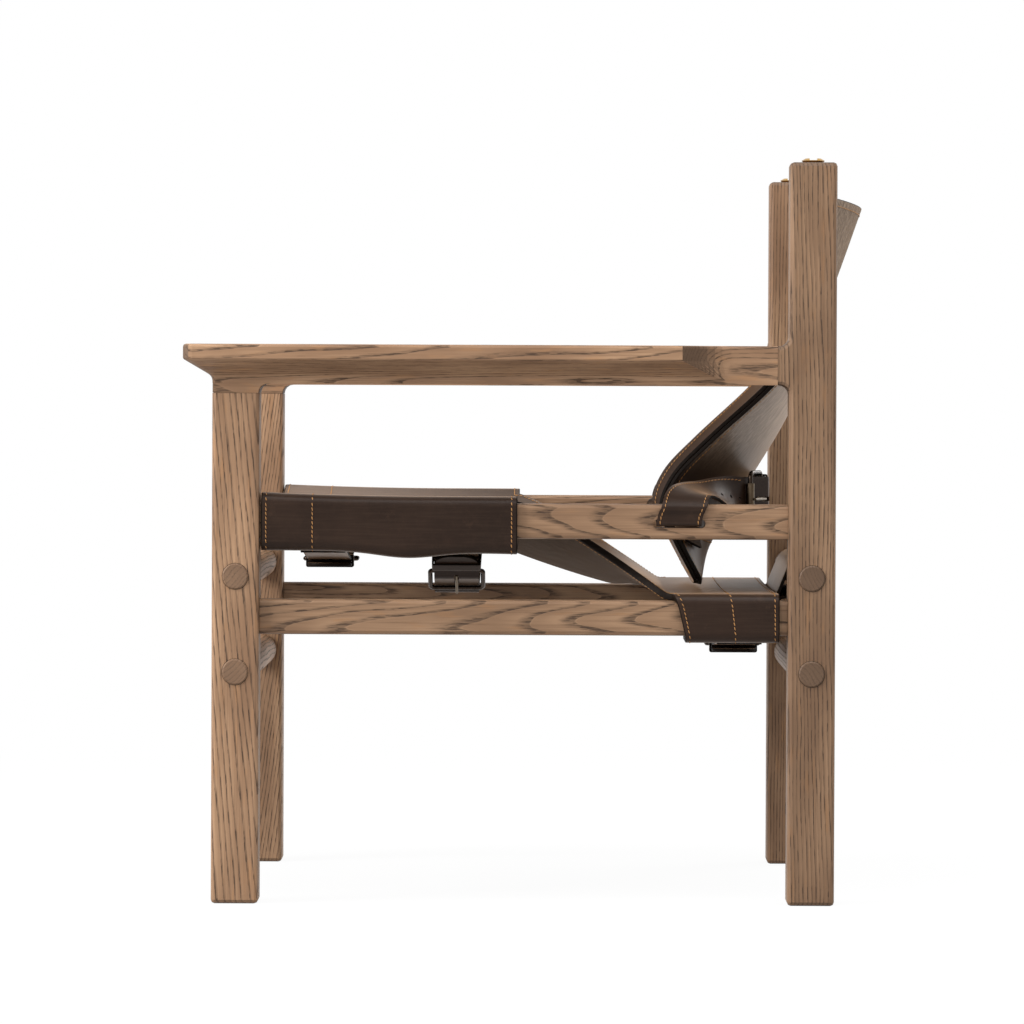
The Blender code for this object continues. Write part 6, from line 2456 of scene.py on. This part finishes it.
@dataclass
class BackBelt:
    """The belt behind the back sling, and the straps that pull the sling's sides out to the rails."""

    sling: BackSling
    sizes: ChairSizes
    dressing: Dressing
    cut: StrapSizes = field(default_factory=StrapSizes)
    above_rail: float = 0.023
    buckle_x: float = 0.176
    tilt: float = math.radians(20)
    leaving: float = math.radians(-18)
    slot_height: float = 0.009
    slot_to_post: float = 0.116
    slot_drop: float = 0.0018
    slot_slack: float = 0.0034
    lean: float = 0.009
    rise: float = 0.011
    samples: int = 40
    sewn_row: int = 6
    fitted_rows: int = 8
    fitted_columns: int = 8
    twist_shares: tuple = (0.0, 0.05, 0.3)
    over_shares: tuple[float, float] = (0.2, 0.72)
    beside_shares: tuple[float, float] = (0.72, 0.3)
    lean_shares: tuple[float, ...] = (2, 1, 0.6, 0.2)
    first_turn: float = 0.1
    outer_rise: float = 0.65
    entry_share: float = 0.15
    lead_shares: tuple = ((0.33, (0, 0.5, -0.85)), (0.68, (0.2, 0.8, -0.5)))
    lifts: tuple = (1.3, 0.8, 0.8)

    @property
    def height(self) -> float:
        """The height of the belt's middle."""
        return self.sizes.upper_rail + self.above_rail

    @property
    def layer(self) -> float:
        """From the sling's middle surface to the middle of a strap behind its lining."""
        return self.sling.leather * 1.5 + 2 * self.sling.layer_gap + self.cut.leather / 2

    def middle_y(self) -> float:
        """How far back the belt lies: just clear of the lining.

        Returns:
            The middle's y.
        """
        top = self.height + self.cut.width / 2 + self.cut.leather
        shares = spread(0, 1, self.samples)[:-1]
        rests = [self.sling.behind(down, across, self.layer) for down in shares for across in shares]
        return self.cut.gap + max(point.y for point in rests if point.z < top)

    def buckle(self, side: str, sign: int, middle_y: float) -> Buckle:
        """The buckle on one side.

        Args:
            side: "left" or "right".
            sign: 1 on the left and -1 on the right.
            middle_y: How far back the belt lies.

        Returns:
            The buckle.
        """
        tilt = Matrix.Rotation(-sign * self.tilt, 4, "Z")
        heel = Matrix.Translation((sign * self.buckle_x, middle_y, self.height))
        face_rear = Matrix(((sign, 0, 0, 0), (0, 0, 1, 0), (0, -sign, 0, 0), (0, 0, 0, 1)))
        return Buckle(
            f"back_{side}",
            heel @ tilt @ face_rear,
            self.cut,
            self.dressing,
            has_roller=True,
            strap_turn=self.tilt,
            leaving=self.leaving,
        )

    def rail_route(self) -> tuple[list[Station], list[Station]]:
        """The left strap's stations over the rail, and then those into its slot.

        Returns:
            The stations over the rail, and those into the slot.
        """
        sizes, cut = self.sizes, self.cut
        face = sizes.leg_x + sizes.rail_half
        inner_face = sizes.leg_x - sizes.rail_half
        hug = cut.gap + cut.leather / 2 + cut.fit_gap
        slot_y = sizes.post_y - sizes.half_leg - self.slot_to_post
        slot_top = sizes.upper_rail - self.slot_drop + self.slot_height / 2
        top = sizes.upper_rail + sizes.rail_height / 2 + hug
        slight, some, much = self.twist_shares
        inside, outside = (mix(inner_face, face, share) for share in self.over_shares)
        beside = [mix(slot_top, top, share) for share in self.beside_shares]
        ways = [slot_y + share * self.lean for share in self.lean_shares]
        places = (
            ((inside, ways[0], top + self.rise), (self.first_turn, 1, -much)),
            ((outside, ways[1], top + self.rise * self.outer_rise), (0, 1, -some)),
            ((face + 2 * hug, ways[2], beside[0]), (0, 1, -slight)),
            ((face + hug, ways[3], beside[1]), (0, 1, 0)),
        )
        over_rail = [(Vector(place), Vector(across)) for place, across in places]
        low = slot_top - self.slot_slack
        bend = corner((face, low), hug, 0, -math.pi / 2, 2)
        bend.append((mix(inner_face, face, 0.5), low - hug))
        bend.append((mix(inner_face, face, -self.entry_share), slot_top - hug))
        return over_rail, [(Vector((x, slot_y, z)), Vector((0, 1, 0))) for x, z in bend]

    def sewn_rows(self) -> list[Row]:
        """Rows where the left strap is sewn behind the sling, from outside its edge inwards.

        Returns:
            The rows.
        """
        sling, steps = self.sling, self.fitted_rows
        start = sling.lining_start
        down = mix(start, 1, self.sewn_row / steps)
        step = 1 / steps / 2
        span = (sling.point(down + step, 1) - sling.point(down - step, 1)).length
        half = self.cut.width * step / span
        rows = []
        for column, lift in enumerate(self.lifts):
            across = 1 - column / self.fitted_columns
            distance = self.layer + lift * self.cut.leather
            downs = [down + half * side for side in (-1, 0, 1)]
            rows.append([sling.resting(place, across, distance, steps) for place in downs])
        outside = [edge + (edge - inner) / 2 for edge, inner in zip(rows[0], rows[1])]
        return [outside, *rows]

    def strap_rows(self, buckle: Buckle) -> tuple[list[Row], int, int]:
        """The left back strap's rows, from its tip through the buckle and the rail to the sling.

        Args:
            buckle: The left buckle.

        Returns:
            The rows, and the first and last of those between the buckle and the slot.
        """
        cut = self.cut
        threaded = buckle.threaded()
        over_rail, in_slot = self.rail_route()
        sewn = self.sewn_rows()
        start, landing = threaded[-1], over_rail[0][0]
        knee = start + (threaded[-1] - threaded[-2]).normalized() * cut.knee / 2
        heading = (landing - start).normalized()
        down = Vector((0, 0, -1))
        lead = []
        for share, across in self.lead_shares:
            across = Vector(across)
            lead.append((start.lerp(landing, share), across - heading * across.dot(heading)))
        stations = [(place, down) for place in threaded[:-1]]
        stations += smooth_stations([(start, down), (knee, down), *lead, *over_rail, in_slot[0]])[:-1]
        stations += in_slot[:-2]
        into_slot = len(stations) - 1
        landings = [(row[1], row[2] - row[0]) for row in sewn[:2]]
        stations += smooth_stations([*in_slot[-2:], *landings])[:-3]
        return [*ribbon_rows(stations, cut.width), *sewn], len(threaded) + 1, into_slot

    def build(self) -> list[bpy.types.Object]:
        """Builds the belt, both buckles and both back straps.

        Returns:
            The pieces.
        """
        cut = self.cut
        middle_y = self.middle_y()
        buckles = {side: self.buckle(side, sign, middle_y) for side, sign in SIDES.items()}
        made = []
        for buckle in buckles.values():
            buckle.dress_metal()
            made += [buckle.build_frame(), buckle.build_keeper()]
        left, right = buckles["left"].fold(), buckles["right"].fold()
        middle = smooth_through([left[0], Vector((0, middle_y, self.height)), right[0]], LEAD_STEPS)
        path = [*reversed(left), *middle[1:-1], *right]
        rows = ribbon_rows([(place, Vector((0, 0, -1))) for place in path], cut.width)
        slots = [buckle.eye_slot() for buckle in buckles.values()]
        rearward, leather = Vector((0, 1, 0)), self.dressing.leather
        made.append(Strap("back_belt", rows, cut).build(rearward, leather, slots))
        left_rows, from_buckle, into_slot = self.strap_rows(buckles["left"])
        inside = Vector((0, 0, self.height - 2 * cut.width))
        for side, sign in SIDES.items():
            mirror = Vector((sign, 1, 1))
            here = [[point * mirror for point in row] for row in left_rows]
            strap = Strap(f"back_strap_{side}", here, cut, pointed=True)
            made.append(strap.build(rearward, leather, buckles[side].pierced(strap)))
            made.append(strap.sew(from_buckle, into_slot, inside, self.dressing.thread))
        return made


@dataclass
class Woodwork:
    """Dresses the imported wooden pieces, each as sawn from its own place in a tree."""

    finish: AshFinish = field(default_factory=AshFinish)
    plain: AshFinish = field(
        default_factory=lambda: AshFinish(pale=linear(206, 178, 146), deep=linear(186, 156, 124))
    )
    cuts: Mapping[str, tuple[Grain, Pith]] = field(
        default_factory=lambda: {
            "front_leg_left": (Grain.UPRIGHT, Pith(-0.060, -0.105, 0.0, -0.10, 0.0048)),
            "front_leg_right": (Grain.UPRIGHT, Pith(0.020, 0.120, 0.0, 0.15)),
            "back_post_left": (Grain.UPRIGHT, Pith(-0.075, 0.125, 0.01, -0.012, 0.0033)),
            "back_post_right": (Grain.UPRIGHT, Pith(0.030, -0.110, 0.0, 0.012, 0.0035)),
            "arm_left": (Grain.LENGTHWISE, Pith(-0.048, -0.012, 0.022, 0.016, 0.0030)),
            "arm_right": (Grain.LENGTHWISE, Pith(0.052, 0.010, -0.050, 0.045)),
            "upper_side_rail_left": (Grain.LENGTHWISE, Pith(-0.034, 0.006, 0.070, -0.030)),
            "upper_side_rail_right": (Grain.LENGTHWISE, Pith(0.038, -0.004, -0.060, 0.025)),
            "lower_side_rail_left": (Grain.LENGTHWISE, Pith(-0.030, -0.008, 0.060, 0.045)),
            "lower_side_rail_right": (Grain.LENGTHWISE, Pith(0.032, 0.006, 0.050, -0.035)),
            "front_upper_cross_bar": (Grain.ACROSS, Pith(0.050, -0.040)),
            "front_lower_cross_bar": (Grain.ACROSS, Pith(-0.045, 0.050)),
            "rear_upper_cross_bar": (Grain.ACROSS, Pith(0.055, 0.030)),
            "rear_lower_cross_bar": (Grain.ACROSS, Pith(-0.050, -0.045)),
        }
    )
    # How much of its colours each piece's wood keeps. Besides the stain this paints light: the front
    # cross bars' 1.20 makes them pale, partly as paler wood and partly as a painted highlight of the
    # light from the front. The posts and rails are made darker than the legs and arms.
    tones_with_painted_light: Mapping[str, float] = field(
        default_factory=lambda: {
            "leg": 0.80,
            "arm": 0.80,
            "lower_side_rail": 0.60,
            "rail": 0.65,
            "post_right": 0.74,
            "post": 0.555,
            "rear": 0.76,
            "bar": 1.20,
        }
    )
    shift: float = 1.7
    shift_step: float = 2.3
    dowel_pith: Pith = Pith(0.016, -0.021, ring=0.0019)
    dowel_shift: float = 0.9
    front_dowel: float = 1.1
    rear_dowel: float = 0.62

    def dress(self) -> int:
        """Gives each wooden node its finish.

        Returns:
            How many nodes were given one.
        """
        for number, (name, (grain, pith)) in enumerate(self.cuts.items()):
            depth = next(share for part, share in self.tones_with_painted_light.items() if part in name)
            shift = self.shift + self.shift_step * number
            self.dress_node(name, self.finish, grain, pith, shift, depth)
        dowels = [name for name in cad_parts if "dowel" in name]
        for number, name in enumerate(sorted(dowels)):
            depth = self.front_dowel if "front" in name else self.rear_dowel
            shift = self.dowel_shift + number
            self.dress_node(name, self.plain, Grain.ACROSS, self.dowel_pith, shift, depth)
        return len(self.cuts) + len(dowels)

    def dress_node(
        self, name: str, finish: AshFinish, grain: Grain, pith: Pith, shift: float, depth: float
    ) -> None:
        """Dresses one node.

        Args:
            name: The node.
            finish: Its wood's finish.
            grain: Which way its fibres run.
            pith: Where the tree's heart lies beside it.
            shift: How far along the tree it was sawn.
            depth: A factor on all its colours: the stain's tone, with painted light on some pieces.
        """
        low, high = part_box(name)
        repaint(name, finish.dress(f"{name}_finish", grain, (low + high) / 2, pith, shift, depth))


@dataclass(frozen=True)
class JointShadeLines:
    """A dark ring in each joint between an arm and its front leg: painted shade, which stands for the
    shadow in the joint's narrow gap.
    """

    finish: bpy.types.Material
    inset: float = 0.0011
    depth: float = 0.0030
    cut_corner: float = 0.0028
    slack: float = 0.00003

    def build(self) -> list[bpy.types.Object]:
        """Builds a thin eight-sided ring in each joint.

        Returns:
            The rings.
        """
        made = []
        for side in SIDES:
            leg_low, leg_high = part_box(f"front_leg_{side}")
            levels = leg_high.z + self.slack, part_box(f"arm_{side}")[0].z - self.slack
            loops = []
            for inset in (self.inset, self.inset + self.depth):
                rim = self.rim(leg_low, leg_high, inset)
                loops += [[Vector((x, y, level)) for x, y in rim] for level in levels]
            order = (loops[0], loops[1], loops[3], loops[2], loops[0])
            rows = [[*loop, loop[0]] for loop in order]
            name = f"arm_glue_line_{side}"
            mesh = surface_mesh(name, rows, Vector((0, 0, 1)))
            bm = bmesh.new()
            bm.from_mesh(mesh)
            bmesh.ops.remove_doubles(bm, verts=bm.verts, dist=self.slack / 3)
            bmesh.ops.recalc_face_normals(bm, faces=bm.faces)
            bm.to_mesh(mesh)
            bm.free()
            mesh.shade_flat()
            made.append(recorded(placed(name, mesh, [self.finish])))
        return made

    def rim(self, low: Vector, high: Vector, inset: float) -> list[FlatPoint]:
        """A rectangle's outline with its corners cut, a little inside a leg's faces.

        Args:
            low: The leg's lowest corner.
            high: The leg's highest corner.
            inset: How far inside its faces the outline runs.

        Returns:
            (x, y) for each corner.
        """
        left, right = low.x + inset, high.x - inset
        front, rear = low.y + inset, high.y - inset
        cut = self.cut_corner
        return [
            (left + cut, front),
            (right - cut, front),
            (right, front + cut),
            (right, rear - cut),
            (right - cut, rear),
            (left + cut, rear),
            (left, rear - cut),
            (left, front + cut),
        ]


@dataclass(frozen=True)
class Lamp:
    """A soft square lamp that looks at the chair."""

    name: str
    place: tuple[float, float, float]
    side: float
    power: float
    aim: tuple[float, float, float] = (0.0, 0.0, 0.42)

    def build(self) -> bpy.types.Object:
        """Puts the lamp in the scene.

        Returns:
            The lamp.
        """
        light = bpy.data.lights.new(self.name, "AREA")
        light.shape, light.size, light.energy = "SQUARE", self.side, self.power
        lamp = placed(self.name, light)
        lamp.location = self.place
        ahead = Vector(self.aim) - Vector(self.place)
        lamp.rotation_euler = ahead.to_track_quat("-Z", "Y").to_euler()
        return lamp


@dataclass(frozen=True)
class Studio:
    """A white floor, a white surround, soft lamps and the camera at the photograph's angle."""

    surround_level: float = 0.55
    floor_shade: float = 0.95
    floor_bounce: float = 0.42
    floor_half: float = 4.5
    shadow_share: float = 0.06
    shadow_edge: tuple[float, float] = (2.6, 0.9)
    camera_place: tuple[float, float, float] = (6.789, 0.0175, 0.536)
    lens: float = 214.56
    film_width: float = 36.0
    picture_side: int = 1024
    vanishing_point: tuple[float, float] = (546.0, 400.0)
    roll: float = 0.0042
    lamps: tuple[Lamp, ...] = (
        Lamp("front_softbox", (1.9, -3.8, 2.2), 2.2, 210.0),
        Lamp("top_softbox", (1.2, 0.2, 3.4), 2.6, 84.0),
        Lamp("rear_softbox", (-2.6, 3.0, 2.2), 2.0, 70.0),
    )

    def build(self) -> None:
        """Builds the whole studio."""
        bpy.context.scene.view_settings.view_transform = "Standard"
        self.build_surround()
        self.build_floor()
        for lamp in self.lamps:
            lamp.build()
        self.build_camera()

    def build_surround(self) -> None:
        """Lights the chair evenly, and shows white to the camera and in reflections."""
        world = bpy.data.worlds.new("white_surround")
        bpy.context.scene.world = world
        world.use_nodes = True
        tree = world.node_tree
        background = tree.nodes["Background"]
        background.inputs["Color"].default_value = (1, 1, 1, 1)
        shown = seen_by(tree, "Camera", "Glossy", "Transmission")
        strength = self.surround_level + (1 - self.surround_level) * shown
        tree.links.new(strength.socket, background.inputs["Strength"])

    def build_floor(self) -> None:
        """A white floor that keeps a faint shadow."""
        bm = bmesh.new()
        bmesh.ops.create_grid(bm, x_segments=1, y_segments=1, size=self.floor_half)
        mesh = finished_mesh(bm, "studio_floor")
        sheet = FinishSheet("white_floor")
        shown = seen_by(sheet.tree, "Camera", "Glossy")
        tone = sheet.blend(shown, (self.floor_bounce,) * 3, (self.floor_shade,) * 3)
        sheet.finish(base_color=tone, roughness=0.9, specular_ior_level=0.1)
        x, y, _ = sheet.coordinates()
        near = ((x * x + y * y) ** 0.5).step(*self.shadow_edge)
        glow = sheet.node("ShaderNodeEmission", values={"Color": (1, 1, 1), "Strength": 1.0})
        lit = {1: sheet.wire(sheet.shader), 2: sheet.wire(glow)}
        share = shown * (1 - near * self.shadow_share)
        both = sheet.node("ShaderNodeMixShader", values={"Fac": share, **lit})
        sheet.put(sheet.tree.nodes["Material Output"].inputs["Surface"], sheet.wire(both))
        placed("studio_floor", mesh, [sheet.material])

    def build_camera(self) -> None:
        """Aims the camera so that the lines across the chair meet where they do in the photograph."""
        pixels = self.lens / self.film_width * self.picture_side
        right = self.vanishing_point[0] - self.picture_side / 2
        up = self.picture_side / 2 - self.vanishing_point[1]
        cosine, sine = math.cos(self.roll), math.sin(self.roll)
        level_right = right * cosine - up * sine
        level_up = right * sine + up * cosine
        ahead = Vector((-pixels, -level_right, -level_up)).normalized()
        side = ahead.cross(Vector((0, 0, 1))).normalized()
        top = side.cross(ahead)
        turned_side = side * cosine + top * sine
        turned_top = top * cosine - side * sine
        lens = bpy.data.cameras.new("photograph_camera")
        lens.lens = self.lens
        lens.sensor_width = self.film_width
        lens.clip_end = 60
        turn = Matrix((turned_side, turned_top, -ahead)).transposed().to_4x4()
        camera = placed("photograph_camera", lens)
        camera.matrix_world = Matrix.Translation(self.camera_place) @ turn
        bpy.context.scene.camera = camera


def main() -> None:
    """Builds and dresses the chair, then the studio."""
    logging.basicConfig(level=logging.INFO, format="%(message)s")
    sizes = ChairSizes.measured()
    Studio().build()
    dressing = Dressing()
    LOG.info("wood: %d pieces dressed", Woodwork().dress())
    for side in SIDES:
        repaint(f"brass_rod_{side}", dressing.brass)
    seat = SeatSling(sizes, dressing)
    back = BackSling(sizes, dressing)
    # The dark rings in the arm joints are painted shade, given the cut edge's black finish.
    joint_shade = JointShadeLines(dressing.cut_edge)
    makers = (joint_shade, seat, UnderStraps(seat, dressing), back, BackBelt(back, sizes, dressing))
    for maker in makers:
        for piece in maker.build():
            LOG.info("%s: %s, %d faces", type(maker).__name__, piece.name, len(piece.data.polygons))


if __name__ == "__main__":
    main()
